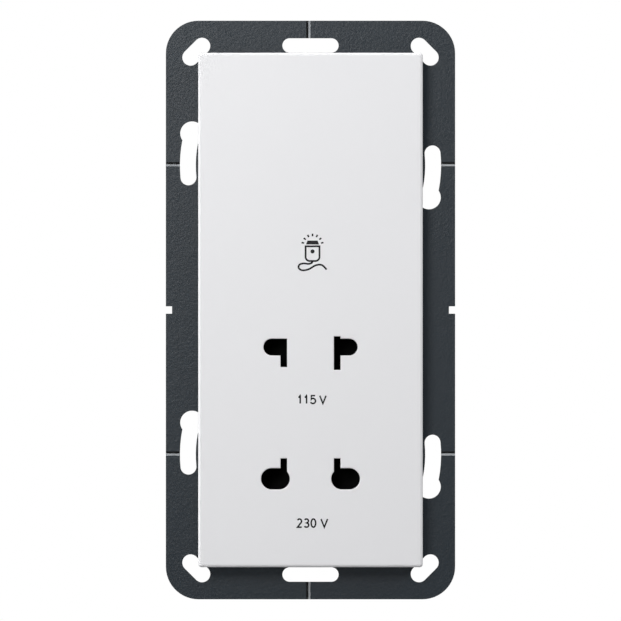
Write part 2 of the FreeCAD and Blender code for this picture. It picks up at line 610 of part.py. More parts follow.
def pin_hole(sketch, inner, outer, z, radius):
    """A pin hole that is square at its inner end and round at its outer end."""
    side = 1 if number_of(outer) > 0 else -1
    centre_x = outer - side * radius
    centre = FreeCAD.Vector(number_of(centre_x), number_of(z), 0)
    r = number_of(radius)
    start = -QUARTER if side > 0 else QUARTER
    arc = sketch.addGeometry(Part.ArcOfCircle(Part.Circle(centre, UP, r), start, start + 2 * QUARTER))
    up = FreeCAD.Vector(0, side * r, 0)
    inner_low = FreeCAD.Vector(number_of(inner), number_of(z), 0) - up
    inner_high = inner_low + up * 2
    first = sketch.addGeometry(Part.LineSegment(centre + up, inner_high))
    back = sketch.addGeometry(Part.LineSegment(inner_high, inner_low))
    last = sketch.addGeometry(Part.LineSegment(inner_low, centre - up))
    sketch.addConstraint(Sketcher.Constraint("Tangent", arc, 2, first, 1))
    sketch.addConstraint(Sketcher.Constraint("Coincident", first, 2, back, 1))
    sketch.addConstraint(Sketcher.Constraint("Coincident", back, 2, last, 1))
    sketch.addConstraint(Sketcher.Constraint("Tangent", last, 2, arc, 1))
    sketch.addConstraint(Sketcher.Constraint("Vertical", back))
    sketch.addConstraint(Sketcher.Constraint("Horizontal", first))
    place(sketch, arc, 3, centre_x, z)
    bind(sketch, "Radius", arc, radius)
    bind(sketch, "DistanceX", -1, 1, back, 1, inner)


# Features

def finish(body, feature):
    """Makes the feature the body's tip and works it out."""
    body.Tip = feature
    doc.recompute([body, feature] + feature.OutListRecursive)
    if feature.Shape.isNull() or not feature.Shape.isValid():
        raise RuntimeError(feature.Name + " gives no valid shape")
    return feature


def extrude(body, name, plane, start, stop, outline, *sizes, centre=None):
    """Adds the outline's prism from one level to another."""
    sketch = new_sketch(body, name + "_outline", plane, start, centre)
    outline(sketch, *sizes)
    pad = body.newObject("PartDesign::Pad", body.Label + "_" + name)
    pad.Profile = sketch
    forward = number_of(stop) > number_of(start)
    pad.setExpression("Length", (stop - start if forward else start - stop).text)
    pad.Reversed = forward if plane == "XZ" else not forward
    return finish(body, pad)


def cut(body, name, plane, start, stop, outline, *sizes, centre=None):
    """Takes the outline's prism away from one level to another and checks that something went."""
    before = body.Shape.Volume
    sketch = new_sketch(body, name + "_outline", plane, start, centre)
    outline(sketch, *sizes)
    pocket = body.newObject("PartDesign::Pocket", body.Label + "_" + name)
    pocket.Profile = sketch
    forward = number_of(stop) > number_of(start)
    pocket.setExpression("Length", (stop - start if forward else start - stop).text)
    pocket.Reversed = not forward if plane == "XZ" else forward
    finish(body, pocket)
    if body.Shape.Volume > before - 1e-6:
        raise RuntimeError(pocket.Name + " takes nothing away")
    return pocket


def mirrored(body, name, originals, planes):
    """Repeats features across the body's own planes, and across both together where two are given."""
    transform = body.newObject("PartDesign::MultiTransform", body.Label + "_" + name)
    steps = []
    for plane in planes:
        step = body.newObject("PartDesign::Mirrored", transform.Name + "_" + plane)
        step.MirrorPlane = (origin_plane(body, plane + "_Plane"), [""])
        steps.append(step)
    transform.Originals = originals
    transform.Transformations = steps
    return finish(body, transform)


def rows_of(body, name, originals, axis, span, count):
    """Repeats features in a straight row."""
    pattern = body.newObject("PartDesign::LinearPattern", body.Label + "_" + name)
    pattern.Originals = originals
    pattern.Direction = (origin_plane(body, axis + "_Axis"), [""])
    pattern.setExpression("Length", text_of(span))
    pattern.setExpression("Occurrences", text_of(count))
    return finish(body, pattern)


def edges_along(shape, direction, test):
    """Names of the straight edges that run along a direction and pass a test on their middle."""
    names = []
    for i, edge in enumerate(shape.Edges, start=1):
        if edge.Curve.TypeId != "Part::GeomLine":
            continue
        along = edge.tangentAt(edge.FirstParameter)
        if abs(abs(along.dot(direction)) - 1) < 1e-6 and test(edge.CenterOfMass):
            names.append("Edge%d" % i)
    return names


def front_edges(shape, level, test):
    """Names of the edges that lie in a plane across Y and pass a test on their middle."""
    names = []
    for i, edge in enumerate(shape.Edges, start=1):
        box = edge.BoundBox
        if max(abs(box.YMin - level.number), abs(box.YMax - level.number)) < 1e-6 and test(edge.CenterOfMass):
            names.append("Edge%d" % i)
    return names


def round_edges(body, name, edges, radius):
    base = body.Tip
    fillet = body.newObject("PartDesign::Fillet", body.Label + "_" + name)
    fillet.Base = (base, edges)
    fillet.setExpression("Radius", radius.text)
    return finish(body, fillet)


def round_corners(body, name, radius, test):
    """Rounds the corners of a prism along Y."""
    return round_edges(body, name, edges_along(body.Tip.Shape, FreeCAD.Vector(0, 1, 0), test), radius)


def beyond(x, z):
    """A test for points further out than x and z."""
    return lambda p: abs(p.x) > x.number and abs(p.z) > z.number


def within(x, z):
    """A test for points closer in than x and z."""
    return lambda p: abs(p.x) < x.number and abs(p.z) < z.number


def all_points(point):
    return True


# Support frame

def support_frame():
    body = new_body("support_frame")
    extrude(body, "sheet", "XZ", WALL, s.seat, centred_box, s.frame_half_width, s.frame_half_height)
    round_corners(body, "corners", s.frame_corner, all_points)
    cut(body, "window", "XZ", WALL, s.seat, centred_box, s.window_half_width, s.window_half_height)
    round_corners(body, "window_corners", s.window_corner,
                  within(s.flange_half_width, s.flange_half_height))
    notch = cut(body, "side_notch", "XZ", s.seat, WALL, box_outline,
                s.frame_half_width - s.side_notch_depth, -s.side_notch_height / 2,
                s.frame_half_width + s.side_notch_depth, s.side_notch_height / 2)
    mirrored(body, "side_notches", [notch], ["YZ"])
    end_slot = cut(body, "end_slot", "XZ", s.seat, WALL, obround, -s.end_slot_half_length, s.end_slot_z,
                   s.end_slot_half_length, s.end_slot_z, s.end_slot_radius)
    mirrored(body, "end_slots", [end_slot], ["XY"])
    corner_slot = cut(body, "corner_slot", "XZ", s.seat, WALL, obround,
                      s.corner_slot_x - s.corner_slot_reach, s.corner_slot_z + s.corner_slot_reach,
                      s.corner_slot_x + s.corner_slot_reach, s.corner_slot_z - s.corner_slot_reach,
                      s.corner_slot_radius)
    mirrored(body, "corner_slots", [corner_slot], ["YZ", "XY"])
    for gang, side in (("upper", 1), ("lower", -1)):
        keyholes(body, gang, side * s.gang_z)
        for edge, turn in (("left", -1), ("right", 1)):
            level_mark(body, gang + "_" + edge + "_mark", turn, side * s.gang_z + s.mark_offset_z)
        upright_mark(body, gang + "_mark", side)
    screw_hole = cut(body, "screw_hole", "XZ", s.seat, WALL, circle,
                     s.frame_screw_x, s.frame_screw_z, s.small_screw_radius + s.thread_gap)
    mirrored(body, "screw_holes", [screw_hole], ["YZ", "XY"])
    cut(body, "strap_notch", "XZ", s.seat, WALL, box_outline,
        s.frame_screw_x - s.strap_half_width - s.strap_gap, s.window_corner - s.window_half_height,
        s.frame_screw_x + s.strap_half_width + s.strap_gap,
        -s.tub_half_height - s.strap_thick - s.strap_gap)
    return body


def keyhole_slot(sketch, radius, half_width, low, high):
    """A curved slot about the sketch's origin, on the left side, from one angle to another."""
    turn = 2 * QUARTER
    to_rad = turn / 180
    first = turn - number_of(high) * to_rad
    last = turn + number_of(low) * to_rad
    inner_r = number_of(radius - half_width)
    outer_r = number_of(radius + half_width)
    inner = sketch.addGeometry(Part.ArcOfCircle(Part.Circle(ORIGIN, UP, inner_r), first, last))
    outer = sketch.addGeometry(Part.ArcOfCircle(Part.Circle(ORIGIN, UP, outer_r), first, last))
    start = FreeCAD.Rotation(UP, 180 - number_of(high)).multVec(FreeCAD.Vector(number_of(radius), 0, 0))
    end = FreeCAD.Rotation(UP, 180 + number_of(low)).multVec(FreeCAD.Vector(number_of(radius), 0, 0))
    r = number_of(half_width)
    start_cap = sketch.addGeometry(Part.ArcOfCircle(Part.Circle(start, UP, r), first + turn, first + 2 * turn))
    end_cap = sketch.addGeometry(Part.ArcOfCircle(Part.Circle(end, UP, r), last, last + turn))
    sketch.addConstraint(Sketcher.Constraint("Coincident", inner, 3, -1, 1))
    sketch.addConstraint(Sketcher.Constraint("Coincident", outer, 3, -1, 1))
    sketch.addConstraint(Sketcher.Constraint("Tangent", outer, 1, start_cap, 2))
    sketch.addConstraint(Sketcher.Constraint("Tangent", start_cap, 1, inner, 1))
    sketch.addConstraint(Sketcher.Constraint("Tangent", outer, 2, end_cap, 1))
    sketch.addConstraint(Sketcher.Constraint("Tangent", end_cap, 2, inner, 2))
    bind(sketch, "Radius", inner, radius - half_width)
    bind(sketch, "Radius", outer, radius + half_width)
    place_at_angle(sketch, start_cap, radius, high, 1)
    place_at_angle(sketch, end_cap, radius, low, -1)


def place_at_angle(sketch, geometry, radius, angle, side):
    """Places a centre to the left of the origin, an angle above (side 1) or below (side -1) the horizontal."""
    point = FreeCAD.Rotation(UP, 180 - side * number_of(angle)).multVec(FreeCAD.Vector(number_of(radius), 0, 0))
    sketch_y = Size(point.y, "(%d * %s * sin(%s * 1 deg))" % (side, radius.text, angle.text))
    bind(sketch, "DistanceY", -1, 1, geometry, 3, sketch_y)


def keyhole_entry(sketch, radius, angle, entry):
    centre = FreeCAD.Rotation(UP, 180 - number_of(angle)).multVec(FreeCAD.Vector(number_of(radius), 0, 0))
    geometry = sketch.addGeometry(Part.Circle(centre, UP, number_of(entry)))
    bind(sketch, "Radius", geometry, entry)
    place(sketch, geometry, 3,
          Size(centre.x, "(-%s * cos(%s * 1 deg))" % (radius.text, angle.text)),
          Size(centre.y, "(%s * sin(%s * 1 deg))" % (radius.text, angle.text)))


def keyholes(body, gang, height):
    """A curved slot with a round entry to the left of a gang's centre, and the same turned half a turn."""
    slot = cut(body, gang + "_keyhole", "XZ", s.seat, WALL, keyhole_slot, s.keyhole_radius,
               s.keyhole_half_width, s.keyhole_low_angle, s.keyhole_high_angle, centre=(MIDDLE, height))
    entry = cut(body, gang + "_entry", "XZ", s.seat, WALL, keyhole_entry, s.keyhole_radius,
                s.keyhole_high_angle, s.keyhole_entry_radius, centre=(MIDDLE, height))
    pair = body.newObject("PartDesign::PolarPattern", body.Label + "_" + gang + "_keyholes")
    pair.Originals = [slot, entry]
    pair.Axis = (slot.Profile[0], ["N_Axis"])
    pair.Angle = 360
    pair.Occurrences = 2
    return finish(body, pair)


def groove(sketch, across, depth_start, width, depth):
    """The triangle of a pressed mark."""
    polygon(sketch, [(depth_start, across - width / 2), (depth_start + depth, across),
                     (depth_start, across + width / 2)])


def level_mark(body, name, turn, height):
    """A mark from the frame's side edge in to the keyhole slot."""
    cut(body, name, "YZ", turn * s.frame_half_width, turn * s.keyhole_radius, groove,
        height, s.seat, s.mark_width, s.mark_depth)


def upright_groove(sketch, across, depth_start, width, depth):
    polygon(sketch, [(across - width / 2, depth_start), (across, depth_start + depth),
                     (across + width / 2, depth_start)])


def upright_mark(body, name, side):
    """A mark from the frame's end edge in to the end slot."""
    cut(body, name, "XY", side * s.frame_half_height, side * s.end_slot_z, upright_groove,
        s.mark_offset_x, s.seat, s.mark_width, s.mark_depth)


# Apertures, cut through the cover and, a little wider, through the carrier behind it

def both_blades(sketch, growth, low):
    """The upright blade slots of a pair."""
    for side in (-1, 1):
        if low:
            foot = s.left_blade_foot if side < 0 else s.right_blade_foot
            top = s.left_blade_top if side < 0 else s.right_blade_top
            foot = foot - growth
        else:
            foot = s.high_volt_z
            top = s.high_blade_top
        box_outline(sketch, side * (s.blade_inner - growth), foot, side * (s.blade_outer + growth), top + growth)


def low_pin_holes(sketch, growth):
    for side in (-1, 1):
        pin_hole(sketch, side * (s.blade_inner + s.blade_outer) / 2, side * (s.low_volt_outer + growth),
                 s.low_volt_z, s.low_volt_radius + growth)


def high_pin_holes(sketch, growth):
    for side in (-1, 1):
        obround(sketch, side * (s.high_volt_inner + s.high_volt_radius), s.high_volt_z,
                side * (s.high_volt_outer - s.high_volt_radius), s.high_volt_z, s.high_volt_radius + growth)


def apertures(body, start, stop, growth):
    cut(body, "low_blades", "XZ", start, stop, both_blades, growth, True)
    cut(body, "low_pins", "XZ", start, stop, low_pin_holes, growth)
    cut(body, "high_blades", "XZ", start, stop, both_blades, growth, False)
    cut(body, "high_pins", "XZ", start, stop, high_pin_holes, growth)


# Cover plate

def cover_plate():
    body = new_body("cover_plate")
    extrude(body, "block", "XZ", s.cover_foot, s.cover_front, centred_box,
            s.cover_half_width, s.cover_half_height)
    round_corners(body, "corners", s.cover_corner, all_points)
    round_edges(body, "front_edge", front_edges(body.Shape, s.cover_front, all_points), s.cover_edge)
    cut(body, "hollow", "XZ", s.cover_foot, s.roof_front, centred_box,
        s.cover_half_width - s.cover_wall, s.cover_half_height - s.cover_wall)
    tongue = s.hat_half_width + s.catch_gap
    hook = extrude(body, "hook", "XY", s.hook_height - s.hook_half, s.hook_height + s.hook_half, polygon, [
        (tongue, s.roof_front),
        (tongue + s.hook_thick, s.roof_front),
        (tongue + s.hook_thick, s.hook_tip),
        (tongue, s.hook_tip),
        (tongue - s.barb_reach, s.barb_top + s.barb_reach / 2),
        (tongue - s.barb_reach, s.barb_top),
        (tongue, s.barb_top),
    ])
    mirrored(body, "hooks", [hook], ["YZ", "XY"])
    apertures(body, s.roof_front, s.cover_front, MIDDLE)
    hole_edges = front_edges(body.Shape, s.cover_front, within(s.throat_half_width, s.hat_half_height))
    round_edges(body, "aperture_edges", hole_edges, s.aperture_edge)
    return body


# Front carrier

def shutter_heights():
    return ((s.low_shutter_foot, s.low_shutter_top), (s.high_shutter_foot, s.high_shutter_top))


def upper_rails(sketch):
    inner = s.hat_half_width - s.hat_wall / 2
    for foot, top in shutter_heights():
        box_outline(sketch, -inner, top + s.slide_gap, inner, top + s.slide_gap + s.rail_thick)


def lower_rails(sketch):
    inner = s.hat_half_width - s.hat_wall / 2
    for foot, top in shutter_heights():
        low = foot - s.slide_gap - s.rail_thick
        box_outline(sketch, -inner, low, s.rail_gap_left, foot - s.slide_gap)
        box_outline(sketch, s.rail_gap_right, low, inner, foot - s.slide_gap)


def throat_blocks(sketch):
    for foot, top in shutter_heights():
        box_outline(sketch, -s.throat_half_width, foot - s.slide_gap / 2, s.throat_half_width, top + s.slide_gap / 2)


def base_screw_spots():
    """Two on the left and one on the right, between the channels of the two shutters."""
    return [(-s.base_screw_x, s.base_screw_upper_z), (-s.base_screw_x, s.base_screw_lower_z),
            (s.base_screw_x, s.base_screw_right_z)]


def base_screw_circles(sketch, radius):
    for x, z in base_screw_spots():
        circle(sketch, x, z, radius)


def front_carrier():
    body = new_body("front_carrier")
    extrude(body, "flange", "XZ", s.seat, s.flange_front, centred_box, s.flange_half_width, s.flange_half_height)
    round_corners(body, "flange_corners", s.flange_corner, all_points)
    extrude(body, "hat", "XZ", s.flange_front, s.roof_front, centred_box, s.hat_half_width, s.hat_half_height)
    round_corners(body, "hat_corners", s.hat_corner, lambda p: p.y < s.flange_front.number)
    cut(body, "hollow", "XZ", s.seat, s.roof_back, centred_box,
        s.hat_inner_width, s.hat_inner_height)
    extrude(body, "throats", "XZ", s.roof_back, s.throat_back, throat_blocks)
    extrude(body, "upper_rails", "XZ", s.roof_back, s.rail_back, upper_rails)
    extrude(body, "lower_rails", "XZ", s.roof_back, s.rail_back, lower_rails)
    post = extrude(body, "post", "XZ", s.roof_back, s.seat, circle, s.housing_screw_x, s.housing_screw_z, s.post_radius)
    mirrored(body, "posts", [post], ["YZ", "XY"])
    pit = cut(body, "pit", "XZ", s.roof_front, s.pit_floor, circle,
              s.housing_screw_x, s.housing_screw_z, s.pit_radius)
    hole = cut(body, "pit_hole", "XZ", s.pit_floor, s.seat, circle,
               s.housing_screw_x, s.housing_screw_z, s.housing_screw_radius + s.shank_gap)
    mirrored(body, "pits", [pit, hole], ["YZ", "XY"])
    extrude(body, "base_posts", "XZ", s.roof_back, s.base_front, base_screw_circles, s.base_post_radius)
    cut(body, "base_pilots", "XZ", s.base_front, s.base_screw_tip - s.shank_gap,
        base_screw_circles, s.small_screw_radius + s.thread_gap)
    frame_hole = cut(body, "frame_hole", "XZ", s.seat, s.flange_front, circle,
                     s.frame_screw_x, s.frame_screw_z, s.small_screw_radius + s.shank_gap)
    mirrored(body, "frame_holes", [frame_hole], ["YZ", "XY"])
    catch = cut(body, "catch", "XY", s.hook_height - s.hook_half - s.catch_gap,
                s.hook_height + s.hook_half + s.catch_gap, box_outline,
                s.hat_inner_width - s.catch_gap, s.barb_top - s.catch_gap / 2,
                s.hat_half_width + s.catch_gap, s.hook_tip)
    mirrored(body, "catches", [catch], ["YZ", "XY"])
    cut(body, "strap_recess", "XZ", s.seat, s.seat - s.strap_thick, box_outline,
        s.frame_screw_x - s.strap_half_width - s.strap_gap, -s.hat_half_height - s.strap_thick,
        s.frame_screw_x + s.strap_half_width + s.strap_gap, s.strap_end - s.strap_gap)
    apertures(body, s.throat_back, s.roof_front, s.throat_growth)
    return body


# Contact base and backplate

def base_outline(sketch):
    """The base's outline, with its lower corners cut away round the housing's columns."""
    polygon(sketch, [
        (-s.base_half_width, s.base_top), (s.base_half_width, s.base_top),
        (s.base_half_width, s.base_step_z), (s.base_step_x, s.base_step_z),
        (s.base_step_x, s.base_bottom), (-s.base_step_x, s.base_bottom),
        (-s.base_step_x, s.base_step_z), (-s.base_half_width, s.base_step_z),
    ])


def ramp_channels(sketch):
    """Room for the ramps, from their rest on the left out through the base's right side."""
    for left, foot, top in ((s.low_left_start, s.low_ramp_foot_z, s.low_ramp_top_z),
                            (s.high_left_start, s.high_ramp_foot_z, s.high_ramp_top_z)):
        box_outline(sketch, left - s.channel_gap, foot - s.channel_gap,
                    s.base_half_width + s.channel_gap, top + s.channel_gap)


def shutter_data(low):
    """Sizes of the 115 V shutter (low) or of the 230 V one."""
    if low:
        return (s.low_left_start, s.low_left_end, s.low_right_start, s.low_right_end, s.low_ramp_foot_z,
                s.low_ramp_top_z, s.low_shutter_foot, s.low_shutter_top, s.low_spring_z, s.low_switch_z)
    return (s.high_left_start, s.high_left_end, s.high_right_start, s.high_right_end, s.high_ramp_foot_z,
            s.high_ramp_top_z, s.high_shutter_foot, s.high_shutter_top, s.high_spring_z, s.high_switch_z)


def tab_reliefs(sketch):
    for low in (True, False):
        foot, switch_z = shutter_data(low)[6], shutter_data(low)[9]
        box_outline(sketch, s.tab_left - s.channel_gap, switch_z - s.tab_half - s.channel_gap,
                    s.tab_right + s.high_travel + s.channel_gap, foot + s.channel_gap)


def switch_pockets(sketch):
    for z in (s.low_switch_z, s.high_switch_z):
        box_outline(sketch, s.switch_x - s.switch_half_length - s.pocket_gap, z - s.switch_half_width - s.pocket_gap,
                    s.switch_x + s.switch_half_length + s.pocket_gap, z + s.switch_half_width + s.pocket_gap)


def contact_pockets(sketch):
    for z in (s.low_volt_z, s.high_volt_z):
        for side in (-1, 1):
            box_outline(sketch, side * (s.contact_inner - s.slot_gap), z - s.contact_half - s.slot_gap,
                        side * (s.contact_outer + s.slot_gap), z + s.contact_half + s.slot_gap)


def switch_tab_slots(sketch):
    for z in (s.low_switch_z, s.high_switch_z):
        for step in (-1, 0, 1):
            x = s.switch_x + step * s.tab_pitch
            box_outline(sketch, x - s.tab_half_width - s.slot_gap, z - s.tab_half_thick - s.slot_gap,
                        x + s.tab_half_width + s.slot_gap, z + s.tab_half_thick + s.slot_gap)


def contact_tail_slots(sketch):
    for z in (s.low_volt_z, s.high_volt_z):
        for side in (-1, 1):
            box_outline(sketch, side * s.tail_x - s.tail_half_thick - s.slot_gap, z - s.tail_half_height - s.slot_gap,
                        side * s.tail_x + s.tail_half_thick + s.slot_gap, z + s.tail_half_height + s.slot_gap)


def spring_posts(sketch):
    for z in (s.low_spring_z, s.high_spring_z):
        box_outline(sketch, s.spring_post_left, z - s.spring_post_half, s.spring_post_right, z + s.spring_post_half)


def contact_base():
    body = new_body("contact_base")
    extrude(body, "block", "XZ", s.base_back, s.base_front, base_outline)
    cut(body, "channels", "XZ", s.base_front, s.channel_floor, ramp_channels)
    cut(body, "reliefs", "XZ", s.base_front, s.relief_floor, tab_reliefs)
    cut(body, "switch_pockets", "XZ", s.base_front, s.switch_back, switch_pockets)
    cut(body, "switch_slots", "XZ", s.switch_back, s.base_back, switch_tab_slots)
    cut(body, "contact_pockets", "XZ", s.base_back, s.channel_floor, contact_pockets)
    cut(body, "screw_holes", "XZ", s.base_front, s.base_back, base_screw_circles, s.small_screw_radius + s.shank_gap)
    extrude(body, "spring_posts", "XZ", s.base_front, s.shutter_front + s.slide_gap, spring_posts)
    return body


def base_backplate():
    body = new_body("base_backplate")
    extrude(body, "plate", "XZ", s.base_back, s.backplate_back, base_outline)
    cut(body, "switch_slots", "XZ", s.base_back, s.backplate_back, switch_tab_slots)
    cut(body, "tail_slots", "XZ", s.base_back, s.backplate_back, contact_tail_slots)
    cut(body, "screw_holes", "XZ", s.base_back, s.backplate_back, base_screw_circles,
        s.small_screw_radius + s.shank_gap)
    return body


# Shutters

def blade_outline(sketch, start, ramp_end, end):
    """Section of a blade, seen from above: its ramp turns a pin's push into a slide to the right."""
    polygon(sketch, [
        (start, s.ramp_foot),
        (ramp_end, s.shutter_front),
        (end, s.shutter_front),
        (end, s.shutter_back),
        (ramp_end, s.shutter_back),
        (start + s.ramp_toe * 2, s.ramp_back),
        (start, s.ramp_back),
    ])


def tab_outline(sketch):
    """Section of the tab, whose back rises to the left and so pushes the plunger in as it slides."""
    polygon(sketch, [
        (s.tab_left, s.shutter_front),
        (s.tab_right, s.shutter_front),
        (s.tab_right, s.shutter_back),
        (s.wedge_start, s.shutter_back),
        (s.tab_left, s.shutter_back + (s.wedge_start - s.tab_left) * s.wedge_rise),
    ])


def shutter(label, low):
    left_start, left_end, right_start, right_end, ramp_foot, ramp_top, foot, top, spring_z, switch_z = \
        shutter_data(low)
    body = new_body(label)
    extrude(body, "lower_bar", "XZ", s.shutter_back, s.shutter_front, box_outline,
            left_start, foot, right_end, ramp_foot)
    # the blades join the two bars, so they come between them
    ramp_run = right_end - s.ramp_lip - right_start
    extrude(body, "left_blade", "XY", ramp_foot, ramp_top, blade_outline, left_start, left_start + ramp_run, left_end)
    extrude(body, "upper_bar", "XZ", s.shutter_back, s.shutter_front, box_outline,
            left_start, ramp_top, right_end, top)
    extrude(body, "right_blade", "XY", ramp_foot, ramp_top, blade_outline,
            right_start, right_start + ramp_run, right_end)
    cut(body, "spring_slot", "XZ", s.shutter_back, s.shutter_front, box_outline,
        s.spring_slot_left, spring_z - s.spring_slot_half, s.spring_slot_right, spring_z + s.spring_slot_half)
    extrude(body, "tab", "XY", foot, switch_z - s.tab_half, tab_outline)
    return body


def shutter_spring(label, height):
    """A compression spring along X, from the slot's end to the post.

    Its wire is a six-sided bar that follows the coil in short straight steps.
    """
    steps = 10
    sides = 6
    length = number_of(s.spring_post_left - s.spring_slot_left)
    wire = number_of(s.spring_wire) / 2
    turns = int(number_of(s.spring_turns))
    radius = number_of(s.spring_radius)
    points = []
    for i in range(turns * steps + 1):
        turn = FreeCAD.Rotation(FreeCAD.Vector(1, 0, 0), i * 360 / steps)
        along = wire + (length - 2 * wire) * i / (turns * steps)
        points.append(turn.multVec(FreeCAD.Vector(0, radius, 0)) + FreeCAD.Vector(along, 0, 0))
    path = Part.makePolygon(points)
    direction = (points[1] - points[0]).normalize()
    facing = FreeCAD.Rotation(UP, direction)
    ring = []
    for i in range(sides + 1):
        corner = FreeCAD.Rotation(UP, i * 360 / sides).multVec(FreeCAD.Vector(wire, 0, 0))
        ring.append(points[0] + facing.multVec(corner))
    pipe = Part.BRepOffsetAPI.MakePipeShell(path)
    pipe.add(Part.makePolygon(ring))
    pipe.setTransitionMode(1)
    pipe.build()
    pipe.makeSolid()
    spring = doc.addObject("Part::Feature", label)
    spring.Label = label
    spring.Shape = pipe.shape()
    middle = (s.shutter_front + s.shutter_back) / 2
    spring.setExpression("Placement.Base.x", s.spring_slot_left.text)
    spring.setExpression("Placement.Base.y", middle.text)
    spring.setExpression("Placement.Base.z", height.text)
    doc.recompute()
    return spring


# Contacts

def leaf_outline(sketch, z, turn):
    """A gripping leaf from the web forward to its narrow point and its flared mouth."""
    web_front = s.base_back - s.contact_sheet
    polygon(sketch, [
        (web_front, z + turn * s.leaf_root),
        (s.pinch_depth, z + turn * s.leaf_pinch),
        (s.mouth_depth, z + turn * s.leaf_mouth),
        (s.mouth_depth, z + turn * (s.leaf_mouth - s.contact_sheet)),
        (s.pinch_depth, z + turn * (s.leaf_pinch - s.contact_sheet)),
        (web_front, z + turn * (s.leaf_root - s.contact_sheet)),
    ])


def contact(label, side, z):
    """A contact of a pair: web on the backplate, two leaves for round pins, one for blades, solder tail."""
    body = new_body(label)
    web_front = s.base_back - s.contact_sheet
    extrude(body, "web", "XZ", s.base_back, web_front, box_outline,
            side * s.contact_inner, z - s.contact_half, side * s.contact_outer, z + s.contact_half)
    for name, turn in (("upper_leaf", 1), ("lower_leaf", -1)):
        extrude(body, name, "YZ", side * s.leaf_inner, side * s.leaf_outer, leaf_outline, z, turn)
    extrude(body, "blade_leaf", "XZ", web_front, s.mouth_depth, box_outline,
            side * s.blade_leaf_foot, z - s.leaf_mouth,
            side * (s.blade_leaf_foot + s.contact_sheet), z + s.leaf_mouth)
    extrude(body, "tail", "XZ", s.base_back, s.tail_end, box_outline,
            side * s.tail_x - s.tail_half_thick, z - s.tail_half_height,
            side * s.tail_x + s.tail_half_thick, z + s.tail_half_height)
    return body


# Microswitches

def switch_body(label, z):
    body = new_body(label)
    extrude(body, "case", "XZ", s.switch_back, s.switch_front, box_outline,
            s.switch_x - s.switch_half_length, z - s.switch_half_width,
            s.switch_x + s.switch_half_length, z + s.switch_half_width)
    cut(body, "well", "XZ", s.switch_front, s.plunger_well, circle,
        s.plunger_x, z, s.plunger_radius + s.thread_gap)
    return body


def switch_plunger(label, z):
    body = new_body(label)
    extrude(body, "pin", "XZ", s.plunger_back, s.plunger_front, circle,
            s.plunger_x, z, s.plunger_radius)
    return body


def switch_tabs(label, z):
    """The three solder tabs of a switch."""
    body = new_body(label)
    first = extrude(body, "tab", "XZ", s.switch_back, s.tab_end, box_outline,
                    s.switch_x - s.tab_pitch - s.tab_half_width, z - s.tab_half_thick,
                    s.switch_x - s.tab_pitch + s.tab_half_width, z + s.tab_half_thick)
    rows_of(body, "tabs", [first], "X", s.tab_pitch * 2, 3)
    return body


# Transformer

def e_outline(sketch):
    """An E: a yoke on the left and three limbs that reach right."""
    yoke = s.limb_half - s.core_half_width
    tip = s.core_half_width - s.limb_half
    low = s.core_z - s.core_half_height
    high = s.core_z + s.core_half_height
    polygon(sketch, [
        (-s.core_half_width, low), (tip, low), (tip, low + s.limb_half), (yoke, low + s.limb_half),
        (yoke, s.core_z - s.limb_half), (tip, s.core_z - s.limb_half),
        (tip, s.core_z + s.limb_half), (yoke, s.core_z + s.limb_half),
        (yoke, high - s.limb_half), (tip, high - s.limb_half), (tip, high), (-s.core_half_width, high),
    ])


def core_holes(sketch, side, radius):
    for turn in (-1, 1):
        circle(sketch, side * s.core_hole_x, s.core_z + turn * s.core_hole_z, radius)


def core_e_stack():
    body = new_body("core_e_stack")
    extrude(body, "stack", "XZ", s.core_back, s.core_front, e_outline)
    cut(body, "holes", "XZ", s.core_front, s.core_back, core_holes, -1, s.core_screw_radius + s.shank_gap)
    return body


def core_i_stack():
    body = new_body("core_i_stack")
    extrude(body, "stack", "XZ", s.core_back, s.core_front, box_outline,
            s.core_half_width - s.limb_half, s.core_z - s.core_half_height,
            s.core_half_width, s.core_z + s.core_half_height)
    cut(body, "holes", "XZ", s.core_front, s.core_back, core_holes, 1, s.core_screw_radius + s.shank_gap)
    return body


def coil_section(sketch, half_y, half_z):
    """A rectangle about the coil's axis, in the YZ plane."""
    box_outline(sketch, s.core_middle - half_y, s.core_z - half_z, s.core_middle + half_y, s.core_z + half_z)


def coil_layers():
    """Half depth and half height of each layer, from the former's hole outwards."""
    half_y = s.stack_depth / 2 + s.former_gap
    half_z = s.limb_half + s.former_gap
    layers = [(half_y, half_z)]
    for build in (s.former_wall, s.primary_build, s.insulation_build, s.secondary_build, s.insulation_build):
        half_y = half_y + build
        half_z = half_z + build
        layers.append((half_y, half_z))
    return layers


def coil_former():
    body = new_body("coil_former")
    length = s.former_half_length
    inside, tube = coil_layers()[0], coil_layers()[1]
    extrude(body, "tube", "YZ", -length, length, coil_section, *tube)
    flange = extrude(body, "flange", "YZ", length - s.former_wall, length, coil_section,
                     s.former_half_y, s.former_half_z)
    mirrored(body, "flanges", [flange], ["YZ"])
    cut(body, "hole", "YZ", -length, length, coil_section, *inside)
    return body


def coil_layer(label, index, rounded):
    """A ring round the former between two layers."""
    body = new_body(label)
    half = s.former_half_length - s.former_wall
    inside, outside = coil_layers()[index], coil_layers()[index + 1]
    extrude(body, "ring", "YZ", -half, half, coil_section, *outside)
    if rounded:
        edges = edges_along(body.Shape, FreeCAD.Vector(1, 0, 0), lambda p: True)
        round_edges(body, "corners", edges, s.coil_corner)
    cut(body, "hole", "YZ", -half, half, coil_section, *inside)
    return body


def outer_layer(label, index):
    """A ring with rounded corners inside and out."""
    body = new_body(label)
    half = s.former_half_length - s.former_wall
    inside, outside = coil_layers()[index], coil_layers()[index + 1]
    extrude(body, "ring", "YZ", -half, half, rounded_section, *outside)
    cut(body, "hole", "YZ", -half, half, rounded_section, *inside)
    return body


